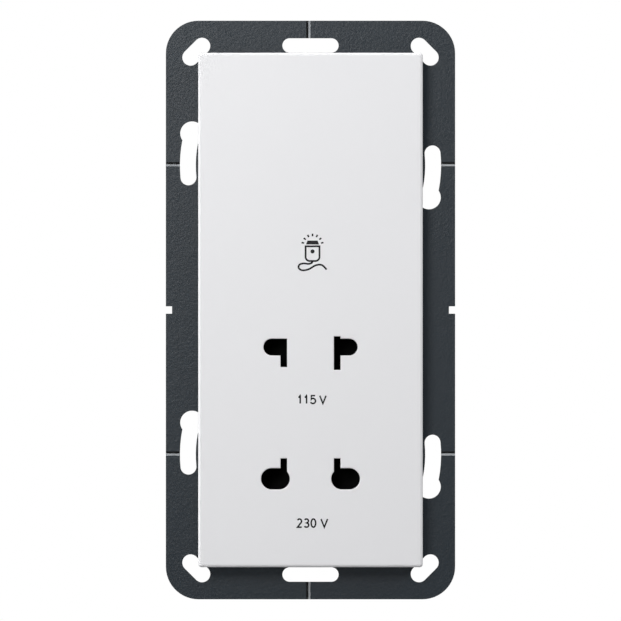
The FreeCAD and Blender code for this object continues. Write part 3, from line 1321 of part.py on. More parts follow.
def rounded_section(sketch, half_y, half_z):
    """The coil's rectangle with its corners rounded."""
    rounded_box(sketch, s.core_middle - half_y, s.core_z - half_z, s.core_middle + half_y, s.core_z + half_z,
                s.coil_corner)


def rounded_box(sketch, x1, y1, x2, y2, radius):
    """A rectangle with four equal round corners, from its lower left to its upper right corner."""
    r = number_of(radius)
    left, low, right, high = number_of(x1), number_of(y1), number_of(x2), number_of(y2)
    sides = [((left + r, low), (right - r, low)), ((right, low + r), (right, high - r)),
             ((right - r, high), (left + r, high)), ((left, high - r), (left, low + r))]
    centres = [(right - r, low + r), (right - r, high - r), (left + r, high - r), (left + r, low + r)]
    lines = []
    arcs = []
    for i, (start, end) in enumerate(sides):
        lines.append(sketch.addGeometry(Part.LineSegment(FreeCAD.Vector(*start, 0), FreeCAD.Vector(*end, 0))))
        corner = Part.Circle(FreeCAD.Vector(*centres[i], 0), UP, r)
        arcs.append(sketch.addGeometry(Part.ArcOfCircle(corner, (i - 1) * QUARTER, i * QUARTER)))
    for i, arc in enumerate(arcs):
        sketch.addConstraint(Sketcher.Constraint("Tangent", lines[i], 2, arc, 1))
        sketch.addConstraint(Sketcher.Constraint("Tangent", arc, 2, lines[(i + 1) % 4], 1))
        bind(sketch, "Radius", arc, radius)
    bind(sketch, "DistanceY", -1, 1, lines[0], 1, y1)
    bind(sketch, "DistanceX", -1, 1, lines[1], 1, x2)
    bind(sketch, "DistanceY", -1, 1, lines[2], 1, y2)
    bind(sketch, "DistanceX", -1, 1, lines[3], 1, x1)
    for line, kind in zip(lines, ("Horizontal", "Vertical", "Horizontal", "Vertical")):
        sketch.addConstraint(Sketcher.Constraint(kind, line))


def thermal_cutout():
    body = new_body("thermal_cutout")
    extrude(body, "case", "XZ", s.coil_front, s.coil_front - s.cutout_thick, box_outline,
            s.cutout_x - s.cutout_half_width, s.cutout_z - s.cutout_half_height,
            s.cutout_x + s.cutout_half_width, s.cutout_z + s.cutout_half_height)
    return body


# Rear housing

def four_columns(sketch, radius):
    for turn in (-1, 1):
        for side in (-1, 1):
            circle(sketch, side * s.housing_screw_x, turn * s.housing_screw_z, radius)


def column_ribs(sketch):
    """A rib from each column across to the side wall."""
    for turn in (-1, 1):
        for side in (-1, 1):
            box_outline(sketch, side * s.housing_screw_x, turn * s.housing_screw_z - s.rib_thick / 2,
                        side * (s.tub_half_width - s.tub_wall / 2), turn * s.housing_screw_z + s.rib_thick / 2)


def core_bosses(sketch, radius):
    core_holes(sketch, -1, radius)
    core_holes(sketch, 1, radius)


def terminal_slots(sketch, gap):
    for step in (-1, 0):
        x = step * s.terminal_pitch
        box_outline(sketch, x - s.tail_half_width - gap, s.tail_z - s.tail_thick / 2 - gap,
                    x + s.tail_half_width + gap, s.tail_z + s.tail_thick / 2 + gap)


def vent_outline(sketch):
    box_outline(sketch, s.vent_front, s.vent_low_z - s.vent_half, s.vent_back, s.vent_low_z + s.vent_half)


def rear_housing():
    body = new_body("rear_housing")
    rim = s.seat
    inner_x = s.tub_half_width - s.tub_wall
    inner_z = s.tub_half_height - s.tub_wall
    low_floor = s.tub_low_back - s.tub_wall
    floor = s.tub_back - s.tub_wall
    extrude(body, "shallow", "XZ", rim, s.tub_low_back, centred_box, s.tub_half_width, s.tub_half_height)
    extrude(body, "deep", "XZ", s.tub_low_back, s.tub_back, box_outline,
            -s.tub_half_width, s.tub_step, s.tub_half_width, s.tub_half_height)
    round_corners(body, "corners", s.tub_corner, beyond(inner_x, inner_z))
    cut(body, "hollow", "XZ", rim, low_floor, centred_box, inner_x, inner_z)
    cut(body, "deep_hollow", "XZ", low_floor, floor, box_outline,
        -inner_x, s.tub_step + s.tub_wall, inner_x, inner_z)
    extrude(body, "columns", "XZ", rim, s.tub_low_back - s.tub_wall / 2, four_columns, s.column_radius)
    extrude(body, "ribs", "XZ", rim, s.tub_low_back - s.tub_wall / 2, column_ribs)
    for name, side in (("right_column", 1), ("left_column", -1)):
        extrude(body, name, "XZ", low_floor, s.tub_back - s.tub_wall / 2, circle,
                side * s.housing_screw_x, s.housing_screw_z, s.column_radius)
    cut(body, "pilots", "XZ", rim, s.housing_screw_tip + s.pilot_under, four_columns,
        s.housing_screw_radius + s.thread_gap)
    extrude(body, "bosses", "XZ", s.core_back, s.tub_back - s.tub_wall / 2, core_bosses, s.boss_radius)
    cut(body, "boss_pilots", "XZ", s.core_back, s.core_screw_tip + s.pilot_under, core_bosses,
        s.core_screw_radius + s.thread_gap)
    cut(body, "tail_slots", "XZ", low_floor, s.tub_low_back, terminal_slots, s.slot_gap)
    for name, side in (("right_vent", 1), ("left_vent", -1)):
        vent = cut(body, name, "YZ", side * (inner_x - s.tub_wall / 2), side * (s.tub_half_width + s.tub_wall),
                   vent_outline)
        rows_of(body, name + "s", [vent], "Z", s.vent_span, s.vent_count)
    return body


# Screws

def screw_group(label, spots, head_radius, head_back, head_front, radius, tip):
    """Pan-head screws with cross recesses along Y, each its own solid, in one body."""
    body = new_body(label)
    outward = 1 if number_of(head_back) > number_of(head_front) else -1

    def circles(sketch, size):
        for x, z in spots:
            circle(sketch, x, z, size)

    def recess(sketch, half_x, half_z):
        for x, z in spots:
            box_outline(sketch, x - half_x, z - half_z, x + half_x, z + half_z)

    extrude(body, "heads", "XZ", head_front, head_back, circles, head_radius)
    extrude(body, "shanks", "XZ", head_front, tip, circles, radius)
    floor = head_back - outward * s.recess_depth
    cut(body, "recess_level", "XZ", head_back, floor, recess, s.recess_reach, s.recess_width / 2)
    cut(body, "recess_upright", "XZ", head_back, floor, recess, s.recess_width / 2, s.recess_reach)
    return body


def corners_at(x, z, middle=None):
    """Four spots about the middle, or about a given height."""
    spots = []
    for turn in (1, -1):
        for side in (-1, 1):
            spots.append((side * x, turn * z if middle is None else middle + turn * z))
    return spots


def housing_screws():
    return screw_group("housing_screws", corners_at(s.housing_screw_x, s.housing_screw_z), s.housing_head_radius,
                       s.pit_floor - s.housing_head_thick, s.pit_floor, s.housing_screw_radius, s.housing_screw_tip)


def frame_screws():
    return screw_group("frame_screws", corners_at(s.frame_screw_x, s.frame_screw_z), s.small_head_radius,
                       s.flange_front - s.small_head_thick, s.flange_front, s.small_screw_radius, -s.frame_screw_gap)


def base_screws():
    return screw_group("base_screws", base_screw_spots(), s.small_head_radius, s.backplate_back + s.small_head_thick,
                       s.backplate_back, s.small_screw_radius, s.base_screw_tip)


def core_screws():
    return screw_group("core_screws", corners_at(s.core_hole_x, s.core_hole_z, s.core_z), s.core_head_radius,
                       s.core_front - s.core_head_thick, s.core_front, s.core_screw_radius, s.core_screw_tip)


# Terminals

def terminal_steps():
    return (-1, 0, 1)


def pillar_pockets(sketch):
    for step in terminal_steps():
        x = step * s.terminal_pitch
        box_outline(sketch, x - s.pillar_half - s.pocket_gap, s.pillar_front - s.pocket_gap,
                    x + s.pillar_half + s.pocket_gap, s.pillar_back + s.pocket_gap)


def wire_entries(sketch, radius):
    for step in terminal_steps():
        circle(sketch, step * s.terminal_pitch, s.wire_depth, radius)


def access_holes(sketch, radius):
    for step in terminal_steps():
        circle(sketch, step * s.terminal_pitch, s.clamp_z, radius)


def terminal_block():
    body = new_body("terminal_block")
    extrude(body, "block", "XZ", s.tub_low_back, s.block_back, box_outline,
            -s.block_half_width, s.block_foot, s.block_half_width, s.block_top)
    cut(body, "pockets", "XY", s.block_top, s.pillar_foot, pillar_pockets)
    cut(body, "wire_entries", "XY", s.pillar_foot, s.block_foot, wire_entries, s.entry_radius)
    cut(body, "access_holes", "XZ", s.block_back, s.pillar_back, access_holes, s.access_radius)
    cut(body, "tail_slots", "XZ", s.tub_low_back, s.pillar_front, terminal_slots, s.slot_gap)
    cut(body, "strap_slot", "XY", s.block_top, s.block_foot, box_outline,
        s.frame_screw_x - s.strap_half_width - s.strap_gap, s.pillar_front - s.strap_thick - s.strap_gap,
        s.frame_screw_x + s.strap_half_width + s.strap_gap, s.pillar_front)
    return body


def terminal(label, step, tailed):
    """A brass pillar with a wire bore from below, a clamp hole from behind and, where wired, a tail."""
    body = new_body(label)
    x = step * s.terminal_pitch
    extrude(body, "pillar", "XZ", s.pillar_front, s.pillar_back, box_outline,
            x - s.pillar_half, s.pillar_foot, x + s.pillar_half, s.pillar_top)
    if tailed:
        extrude(body, "tail", "XZ", s.pillar_front, s.tail_front, box_outline,
                x - s.tail_half_width, s.tail_z - s.tail_thick / 2,
                x + s.tail_half_width, s.tail_z + s.tail_thick / 2)
    cut(body, "wire_bore", "XY", s.pillar_foot, s.wire_bore_top, circle, x, s.wire_depth, s.wire_bore)
    cut(body, "clamp_hole", "XZ", s.pillar_back, s.wire_depth, circle, x, s.clamp_z, s.clamp_radius + s.thread_gap)
    return body


def terminal_screws():
    body = new_body("terminal_screws")
    extrude(body, "heads", "XZ", s.clamp_head_front, s.clamp_head_back, access_holes, s.clamp_head_radius)
    extrude(body, "shanks", "XZ", s.clamp_head_front, s.clamp_tip, access_holes, s.clamp_radius)
    cut(body, "slots", "XZ", s.clamp_head_back, s.clamp_slot_floor, screw_slots)
    return body


def screw_slots(sketch):
    for step in terminal_steps():
        x = step * s.terminal_pitch
        reach = s.clamp_head_radius + s.slot_gap
        box_outline(sketch, x - reach, s.clamp_z - s.clamp_slot_half, x + reach, s.clamp_z + s.clamp_slot_half)


def strap_outline(sketch):
    """The strap from the side: tab under the flange, run under the tub, rise on to the earth pillar."""
    outside = -s.tub_half_height
    polygon(sketch, [
        (s.seat, s.strap_end), (s.seat, outside - s.strap_thick), (s.pillar_front, outside - s.strap_thick),
        (s.pillar_front, s.strap_top), (s.pillar_front - s.strap_thick, s.strap_top),
        (s.pillar_front - s.strap_thick, outside), (s.seat - s.strap_thick, outside),
        (s.seat - s.strap_thick, s.strap_end),
    ])


def earth_strap():
    body = new_body("earth_strap")
    extrude(body, "strip", "YZ", s.frame_screw_x - s.strap_half_width, s.frame_screw_x + s.strap_half_width,
            strap_outline)
    cut(body, "hole", "XZ", s.seat, s.seat - s.strap_thick, circle,
        s.frame_screw_x, -s.frame_screw_z, s.small_screw_radius + s.shank_gap)
    return body


# Internal leads

def lead_path(sketch, points):
    """A path of straight runs with every corner placed by sizes."""
    corners = [FreeCAD.Vector(number_of(y), number_of(z), 0) for y, z in points]
    lines = []
    for start, end in zip(corners, corners[1:]):
        lines.append(sketch.addGeometry(Part.LineSegment(start, end)))
    for before, after in zip(lines, lines[1:]):
        sketch.addConstraint(Sketcher.Constraint("Coincident", before, 2, after, 1))
    for line, (y, z) in zip(lines, points):
        place(sketch, line, 1, y, z)
    place(sketch, lines[-1], 2, *points[-1])


def lead(label, x, points):
    """A round lead swept along a path in a plane across X, with mitred corners."""
    body = new_body(label)
    path = new_sketch(body, "path", "YZ", x)
    lead_path(path, points)
    (start_y, start_z), (next_y, next_z) = points[0], points[1]
    if start_y is next_y:
        section = new_sketch(body, "section", "XY", start_z)
        circle(section, x, start_y, s.lead_radius)
    else:
        section = new_sketch(body, "section", "XZ", start_y)
        circle(section, x, start_z, s.lead_radius)
    doc.recompute([path, section])
    pipe = body.newObject("PartDesign::AdditivePipe", label + "_sweep")
    pipe.Profile = section
    pipe.Spine = (path, [])
    pipe.Transition = "Right corner"
    finish(body, pipe)
    return body


def leads():
    live_x = -s.terminal_pitch
    link_x = s.switch_x
    cutout_depth = s.coil_front - s.cutout_thick / 2
    cutout_foot = s.cutout_z - s.cutout_half_height
    low_tail = s.low_volt_z
    high_tail = s.high_volt_z
    return [
        lead("lead_live", live_x, [
            (s.tail_front, s.tail_z), (s.lead_run, s.tail_z),
            (s.lead_run, s.high_switch_z), (s.tab_end, s.high_switch_z)]),
        lead("lead_link", link_x, [
            (s.tab_end, s.high_switch_z), (s.lead_run, s.high_switch_z),
            (s.lead_run, s.low_switch_z), (s.tab_end, s.low_switch_z)]),
        lead("lead_cutout", s.cutout_x, [
            (s.tab_end, s.low_switch_z), (s.lead_run, s.low_switch_z), (s.lead_run, s.lead_gap_z),
            (cutout_depth, s.lead_gap_z), (cutout_depth, cutout_foot)]),
        lead("lead_neutral", MIDDLE, [
            (s.lead_run_neutral, s.tail_z + s.tail_thick / 2), (s.lead_run_neutral, s.lead_low_z),
            (s.lead_coil_back, s.lead_low_z), (s.lead_coil_back, s.coil_foot)]),
        lead("lead_common_link", -s.tail_x, [
            (s.tail_end, high_tail), (s.lead_run, high_tail),
            (s.lead_run, low_tail - s.lead_pair_half), (s.tail_end, low_tail - s.lead_pair_half)]),
        lead("lead_common", -s.tail_x, [
            (s.tail_end, low_tail + s.lead_pair_half), (s.lead_run, low_tail + s.lead_pair_half),
            (s.lead_run, s.lead_gap_z), (s.lead_coil_front, s.lead_gap_z), (s.lead_coil_front, s.coil_foot)]),
        lead("lead_tap_115", s.tail_x, [
            (s.tail_end, low_tail), (s.lead_run, low_tail), (s.lead_run, s.lead_gap_z),
            (s.lead_coil_front, s.lead_gap_z), (s.lead_coil_front, s.coil_foot)]),
        lead("lead_tap_230", s.tail_x, [
            (s.tail_end, high_tail), (s.lead_run_high, high_tail), (s.lead_run_high, s.lead_low_z),
            (s.lead_coil_back, s.lead_low_z), (s.lead_coil_back, s.coil_foot)]),
    ]


def build():
    nodes = [
        support_frame(),
        cover_plate(),
        front_carrier(),
        contact_base(),
        base_backplate(),
        shutter("shutter_115", True),
        shutter("shutter_230", False),
        shutter_spring("shutter_spring_115", s.low_spring_z),
        shutter_spring("shutter_spring_230", s.high_spring_z),
    ]
    for volts, z in (("115", s.low_volt_z), ("230", s.high_volt_z)):
        for name, side in (("left", -1), ("right", 1)):
            nodes.append(contact("contact_%s_%s" % (volts, name), side, z))
    for volts, z in (("115", s.low_switch_z), ("230", s.high_switch_z)):
        nodes.append(switch_body("switch_body_" + volts, z))
        nodes.append(switch_plunger("switch_plunger_" + volts, z))
        nodes.append(switch_tabs("switch_tabs_" + volts, z))
    nodes += [
        core_e_stack(),
        core_i_stack(),
        coil_former(),
        coil_layer("primary_winding", 1, True),
        outer_layer("winding_insulation", 2),
        outer_layer("secondary_winding", 3),
        outer_layer("coil_tape", 4),
        core_screws(),
        thermal_cutout(),
        rear_housing(),
        housing_screws(),
        frame_screws(),
        base_screws(),
        terminal_block(),
        terminal("terminal_live", -1, True),
        terminal("terminal_neutral", 0, True),
        terminal("terminal_earth", 1, False),
        terminal_screws(),
        earth_strap(),
    ]
    return nodes + leads()


nodes = build()
doc.recompute()
for item in doc.Objects:
    if "Invalid" in item.State or "Error" in item.State:
        raise RuntimeError(item.Name + " is not up to date: " + str(item.State))
os.makedirs("parts", exist_ok=True)
for node in nodes:
    if node.Shape.isNull() or not node.Shape.isValid():
        raise RuntimeError(node.Label + " has no valid shape")
    node.Shape.exportStep("parts/" + node.Label + ".step")
    print(node.Label, len(node.Shape.Solids), round(node.Shape.Volume, 1))
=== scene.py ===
# %% [markdown]
# A two-gang shaver socket for a wall box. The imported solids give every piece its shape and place.
# This file dresses them: finishes, printed marks, real springs, lights and a camera.
# Everything is in metres. X runs right, Z runs up, and the front faces -Y.

# %% Load the frame
import math
import bmesh
import bpy
from mathutils import Matrix, Vector


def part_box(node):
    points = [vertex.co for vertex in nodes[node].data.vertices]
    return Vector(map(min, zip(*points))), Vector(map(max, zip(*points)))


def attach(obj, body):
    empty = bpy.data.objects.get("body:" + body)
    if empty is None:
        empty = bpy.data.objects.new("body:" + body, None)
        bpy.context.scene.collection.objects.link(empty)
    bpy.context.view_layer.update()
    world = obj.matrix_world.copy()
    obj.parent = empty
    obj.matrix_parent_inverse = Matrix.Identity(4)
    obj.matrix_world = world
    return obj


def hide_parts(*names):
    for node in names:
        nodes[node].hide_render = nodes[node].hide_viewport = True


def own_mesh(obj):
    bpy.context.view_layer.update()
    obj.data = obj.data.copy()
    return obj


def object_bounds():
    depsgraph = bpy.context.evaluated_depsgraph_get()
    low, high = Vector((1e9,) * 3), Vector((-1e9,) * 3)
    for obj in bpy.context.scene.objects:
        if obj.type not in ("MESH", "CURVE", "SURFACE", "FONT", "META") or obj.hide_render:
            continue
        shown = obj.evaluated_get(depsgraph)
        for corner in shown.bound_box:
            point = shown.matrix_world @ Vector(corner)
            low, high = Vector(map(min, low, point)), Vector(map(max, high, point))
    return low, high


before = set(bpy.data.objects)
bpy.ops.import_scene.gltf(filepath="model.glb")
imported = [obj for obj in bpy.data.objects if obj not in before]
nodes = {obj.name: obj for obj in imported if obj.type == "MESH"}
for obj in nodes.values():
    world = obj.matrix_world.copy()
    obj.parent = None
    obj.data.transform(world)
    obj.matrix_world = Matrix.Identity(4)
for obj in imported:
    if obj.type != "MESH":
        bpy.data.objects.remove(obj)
solid_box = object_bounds()
MM = 0.001
print(len(nodes), "nodes loaded,", [round((b - a) / MM, 1) for a, b in zip(*solid_box)], "mm")

# %% [markdown]
# The photograph looks straight at the front, and parallel edges stay parallel in it. A very long
# lens a few metres away gives that flat view and still is an ordinary camera. The distance follows
# from the lens: the picture's width in the world over the sensor's width, times the focal length.

# %% Camera
VIEW_WIDTH = 152.4 * MM
LENS = 1000.0
SENSOR = 36.0
CAMERA_HEIGHT = -0.12 * MM
frame_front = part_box("support_frame")[0].y
camera_data = bpy.data.cameras.new("front_camera")
camera_data.lens = LENS
camera_data.sensor_width = SENSOR
camera_data.clip_end = 100.0
camera = bpy.data.objects.new("front_camera", camera_data)
camera.location = (0.0, frame_front - VIEW_WIDTH * LENS / SENSOR, CAMERA_HEIGHT)
camera.rotation_euler = (math.radians(90), 0, 0)
bpy.context.scene.collection.objects.link(camera)
bpy.context.scene.camera = camera
print("camera", round(-camera.location.y, 3), "m in front of the wall plane")

# %% [markdown]
# The key is a soft window to the upper left, close enough that the top of the cover is a little
# brighter than its foot. It throws the narrow soft shadow along the right and lower sides of the
# cover. Two windows stand level with the face, one on the left and one above. They hardly touch the
# flat fronts, but rounded edges and pressed marks turn towards them and catch a bright line. A wide
# window on the right evens out the cover, and one behind lights the housing for views from there.

# %% Lights
def soft_window(name, direction, distance, size, power):
    """A square area lamp this far off in a direction, with its size and watts, that looks at the middle."""
    data = bpy.data.lights.new(name, "AREA")
    data.shape = "SQUARE"
    data.size = size
    data.energy = power
    lamp = bpy.data.objects.new(name, data)
    place = Vector(direction).normalized() * distance
    lamp.location = place
    lamp.rotation_euler = (-place).to_track_quat("-Z", "Y").to_euler()
    bpy.context.scene.collection.objects.link(lamp)
    print(name, round(distance, 2), "m away,", power, "W")


soft_window("key_window", (-0.20, -1.0, 0.26), 0.65, 0.17, 1.88)
soft_window("left_window", (-1.0, -0.1, 0.0), 0.50, 0.28, 2.1)
soft_window("top_window", (0.0, -0.1, 1.0), 0.50, 0.28, 1.4)
soft_window("right_window", (1.0, -1.0, 0.7), 1.2, 0.5, 5.0)
soft_window("rear_window", (-0.8, 1.0, 0.9), 1.4, 0.9, 10.0)

# %% [markdown]
# The world, the materials and the trees that make wire are all built from nodes. Five helpers keep
# that short: one makes a node with its settings, one fills an input, one does arithmetic, one mixes
# colours, and one tells which rays look at the surroundings.

# %% Node helpers
def node_of(tree, kind, **settings):
    """A shader or geometry node with its settings; a name like in_Scale sets that input."""
    node = tree.nodes.new(kind)
    for name, value in settings.items():
        if name.startswith("in_"):
            node.inputs[name[3:].replace("_", " ")].default_value = value
        else:
            setattr(node, name, value)
    return node


def feed(tree, target, value):
    """Gives an input a value, which is another node's output or a plain number or colour."""
    if isinstance(value, bpy.types.NodeSocket):
        tree.links.new(value, target)
    else:
        target.default_value = value


def sums(tree, operation, *values):
    """A Math node on one or two values."""
    node = node_of(tree, "ShaderNodeMath", operation=operation)
    for target, value in zip(node.inputs, values):
        feed(tree, target, value)
    return node.outputs[0]


def blended(tree, how, first, second, share=1.0):
    """A Mix node for colours; share says how much of the second shows."""
    node = node_of(tree, "ShaderNodeMix", data_type="RGBA", blend_type=how)
    # for colours this node keeps its share at input 0, the colours at 6 and 7 and the result at output 2
    for i, value in ((0, share), (6, first), (7, second)):
        feed(tree, node.inputs[i], value)
    return node.outputs[2]


def looking(tree):
    """1 for rays that look at the surroundings: camera, glossy and transmission rays; 0 for the others."""
    path = tree.nodes.new("ShaderNodeLightPath")
    reflected = sums(tree, "MAXIMUM", path.outputs["Is Camera Ray"], path.outputs["Is Glossy Ray"])
    return sums(tree, "MAXIMUM", reflected, path.outputs["Is Transmission Ray"])


print("node helpers ready")

# %% [markdown]
# The background is pure white, but a white world would light the object from all sides and drown the
# shadows. The Light Path node splits the two. The camera sees white, and so do reflections and rays
# that pass through glass. All other rays get a dim grey, which only lifts the shadows.

# %% World
world = bpy.data.worlds.new("studio")
world.use_nodes = True
bpy.context.scene.world = world
tree = world.node_tree
tree.nodes.clear()
ambient = node_of(tree, "ShaderNodeBackground", in_Color=(0.93, 0.96, 1.0, 1), in_Strength=0.06)
white = node_of(tree, "ShaderNodeBackground", in_Color=(1, 1, 1, 1), in_Strength=1.0)
split = tree.nodes.new("ShaderNodeMixShader")
output = tree.nodes.new("ShaderNodeOutputWorld")
tree.links.new(looking(tree), split.inputs[0])
tree.links.new(ambient.outputs[0], split.inputs[1])
tree.links.new(white.outputs[0], split.inputs[2])
tree.links.new(split.outputs[0], output.inputs[0])
bpy.context.scene.view_settings.view_transform = "Standard"
print("world split into a white backdrop and a dim grey light")

# %% [markdown]
# The floor is a plain pale sheet a little below the object, out of sight in the front view. Near the
# object it is only lit, so that the shadow shows. Further out it glows more and more towards white.
# The glow and the paleness are for the same rays as the white backdrop, so that hardly any light
# comes back from below. Seen from underneath the sheet is clear, so that it never hides the object.

# %% Floor
FLOOR_DROP = 30 * MM
FLOOR_REACH = 1.1
PLAIN_WITHIN = 0.1
WHITE_BEYOND = 0.7
floor_mesh = bpy.data.meshes.new("floor")
floor_level = solid_box[0].z - FLOOR_DROP
floor_mesh.from_pydata([(x * FLOOR_REACH, y * FLOOR_REACH, floor_level)
                        for x, y in ((-1, -1), (1, -1), (1, 1), (-1, 1))], [], [(0, 1, 2, 3)])
floor = bpy.data.objects.new("floor", floor_mesh)
bpy.context.scene.collection.objects.link(floor)
paper = bpy.data.materials.new("floor_paper")
paper.use_nodes = True
tree = paper.node_tree
tree.nodes.clear()
lit = tree.nodes.new("ShaderNodeBsdfDiffuse")
paleness = node_of(tree, "ShaderNodeMapRange", in_To_Min=0.2, in_To_Max=0.85)
glow = tree.nodes.new("ShaderNodeEmission")
place = tree.nodes.new("ShaderNodeTexCoord")
distance = node_of(tree, "ShaderNodeVectorMath", operation="LENGTH")
strength = node_of(tree, "ShaderNodeMapRange", in_From_Min=PLAIN_WITHIN, in_From_Max=WHITE_BEYOND,
                   in_To_Min=0.1, in_To_Max=1.0)
looked_at = looking(tree)
both = tree.nodes.new("ShaderNodeAddShader")
output = tree.nodes.new("ShaderNodeOutputMaterial")
tree.links.new(place.outputs["Object"], distance.inputs[0])
tree.links.new(distance.outputs["Value"], strength.inputs["Value"])
tree.links.new(sums(tree, "MULTIPLY", strength.outputs[0], looked_at), glow.inputs["Strength"])
tree.links.new(looked_at, paleness.inputs["Value"])
tree.links.new(paleness.outputs[0], lit.inputs["Color"])
clear = tree.nodes.new("ShaderNodeBsdfTransparent")
side = tree.nodes.new("ShaderNodeNewGeometry")
sheet = tree.nodes.new("ShaderNodeMixShader")
tree.links.new(lit.outputs[0], both.inputs[0])
tree.links.new(glow.outputs[0], both.inputs[1])
tree.links.new(side.outputs["Backfacing"], sheet.inputs[0])
tree.links.new(both.outputs[0], sheet.inputs[1])
tree.links.new(clear.outputs[0], sheet.inputs[2])
tree.links.new(sheet.outputs[0], output.inputs[0])
floor_mesh.materials.append(paper)
print("floor at", round(floor_level / MM, 1), "mm")

# %% [markdown]
# Every finish starts from one Principled shader. Two things make it look made and not computed: a
# grain in the surface, as a fine bump, and a slight change of tone from place to place. Both read
# Object coordinates, so they lie on the pieces like paint and stay there in every view.

# %% Finish helper
def finish(name, colour, roughness, metallic=0.0, grain=0.0, grain_size=0.4, stretch=(1, 1, 1), tone=0.0,
           tone_size=6.0, specular=0.5):
    """A material: colour, gloss, a grain this deep and this wide in millimetres, and a share of tone."""
    material = bpy.data.materials.new(name)
    material.use_nodes = True
    tree = material.node_tree
    shader = tree.nodes["Principled BSDF"]
    shader.inputs["Base Color"].default_value = (*colour, 1)
    shader.inputs["Roughness"].default_value = roughness
    shader.inputs["Metallic"].default_value = metallic
    shader.inputs["Specular IOR Level"].default_value = specular
    place = tree.nodes.new("ShaderNodeTexCoord")
    turned = tree.nodes.new("ShaderNodeMapping")
    turned.inputs["Scale"].default_value = stretch
    tree.links.new(place.outputs["Object"], turned.inputs["Vector"])
    if grain:
        noise = node_of(tree, "ShaderNodeTexNoise", in_Scale=1 / (grain_size * MM), in_Detail=3.0,
                        in_Roughness=0.6)
        bump = node_of(tree, "ShaderNodeBump", in_Strength=1.0, in_Distance=grain * MM)
        tree.links.new(turned.outputs[0], noise.inputs["Vector"])
        tree.links.new(noise.outputs["Fac"], bump.inputs["Height"])
        tree.links.new(bump.outputs[0], shader.inputs["Normal"])
    if tone:
        patches = node_of(tree, "ShaderNodeTexNoise", in_Scale=1 / (tone_size * MM), in_Detail=2.0)
        shade = node_of(tree, "ShaderNodeMapRange", in_To_Min=1 - tone, in_To_Max=1 + tone)
        tree.links.new(turned.outputs[0], patches.inputs["Vector"])
        tree.links.new(patches.outputs["Fac"], shade.inputs["Value"])
        tree.links.new(blended(tree, "MULTIPLY", (*colour, 1), shade.outputs[0]), shader.inputs["Base Color"])
    return material


def dress(material, *names):
    """Gives the CAD pieces their finish."""
    for name in names:
        slots = nodes[name].data.materials
        slots.clear()
        slots.append(material)
    print(material.name, "on", ", ".join(names))


print("finish helper ready")

# %% [markdown]
# The frame is pressed steel under a dark powder coat. The coat flows into a fine orange peel, a good
# half millimetre across. Its sheen does most of the work here: the slow change from grey to near
# black down the frame is the key window's reflection in a rough gloss.
# The marks that help to level the frame are pressed through the coat. A mask of place and slope paints
# light into their colour: a bright painted highlight on the flanks that face up or left, and a near
# black painted shade on the others.

# %% Frame coat
MARK_LIFT = 0.3 * MM
MARK_MIDDLE = -0.55 * MM
MARK_HALF_WIDTH = 0.6 * MM
SKIN_DEPTH = 0.03 * MM
FLANK_SLOPE = 0.45
# painted highlight colour for the mark flanks that face up or left, and painted shade for the others
FLANK_PAINTED_HIGHLIGHT = (0.42, 0.44, 0.46, 1)
DEEP_SHADE = (0.001, 0.001, 0.001, 1)


def paint_light_on_mark_flanks(material):
    """Painted highlight on the flanks of the pressed marks that face up or left, painted shade on the others.
    """
    low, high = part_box("support_frame")
    tree = material.node_tree
    shader = tree.nodes["Principled BSDF"]
    place = tree.nodes.new("ShaderNodeTexCoord")
    at = tree.nodes.new("ShaderNodeSeparateXYZ")
    facing = tree.nodes.new("ShaderNodeSeparateXYZ")
    tree.links.new(place.outputs["Object"], at.inputs[0])
    tree.links.new(place.outputs["Normal"], facing.inputs[0])
    # the level marks stand a little above the middle of each gang, half way from the centre to the end
    height = sums(tree, "ABSOLUTE", sums(tree, "SUBTRACT", at.outputs["Z"], MARK_LIFT))
    off_level = sums(tree, "ABSOLUTE", sums(tree, "SUBTRACT", height, high.z / 2))
    off_upright = sums(tree, "ABSOLUTE", sums(tree, "SUBTRACT", at.outputs["X"], MARK_MIDDLE))
    near = sums(tree, "LESS_THAN", sums(tree, "MINIMUM", off_level, off_upright), MARK_HALF_WIDTH)
    inside = sums(tree, "GREATER_THAN", at.outputs["Y"], low.y + SKIN_DEPTH)
    sloped = sums(tree, "LESS_THAN", facing.outputs["Y"], -FLANK_SLOPE)
    flank = sums(tree, "MULTIPLY", sums(tree, "MULTIPLY", near, sloped), inside)
    lit = sums(tree, "MAXIMUM", facing.outputs["Z"], sums(tree, "MULTIPLY", facing.outputs["X"], -1.0))
    dim = sums(tree, "MAXIMUM", sums(tree, "MULTIPLY", facing.outputs["Z"], -1.0), facing.outputs["X"])
    # paints the highlight colour on flanks facing up or left and the shade colour on the others
    for turned, colour in ((lit, FLANK_PAINTED_HIGHLIGHT), (dim, DEEP_SHADE)):
        coat = shader.inputs["Base Color"].links[0].from_socket
        share = sums(tree, "MULTIPLY", flank, sums(tree, "GREATER_THAN", turned, FLANK_SLOPE))
        tree.links.new(blended(tree, "MIX", coat, colour, share), shader.inputs["Base Color"])


powder_coat = finish("powder_coat", (0.001, 0.006, 0.011), 0.37, grain=0.07, grain_size=0.6,
                     tone=0.12, tone_size=0.7, specular=0.23)
# paints highlight and shade into the colour of the level marks' flanks
paint_light_on_mark_flanks(powder_coat)
dress(powder_coat, "support_frame")

# %% [markdown]
# The cover is a moulded satin white. It is smooth enough to show a soft highlight along its rounded
# edge and dull enough to hide reflections, so the grain is very fine and hardly deep.

# %% Cover
satin_white = finish("satin_white", (0.775, 0.775, 0.79), 0.38, grain=0.004, grain_size=0.9, tone=0.006,
                     tone_size=25.0, specular=0.4)
dress(satin_white, "cover_plate")

# %% [markdown]
# Behind the cover sit matt black and dark grey mouldings. Spark-eroded moulds leave a grain like
# fine leather on them, and the sliding shutters are polished by use.

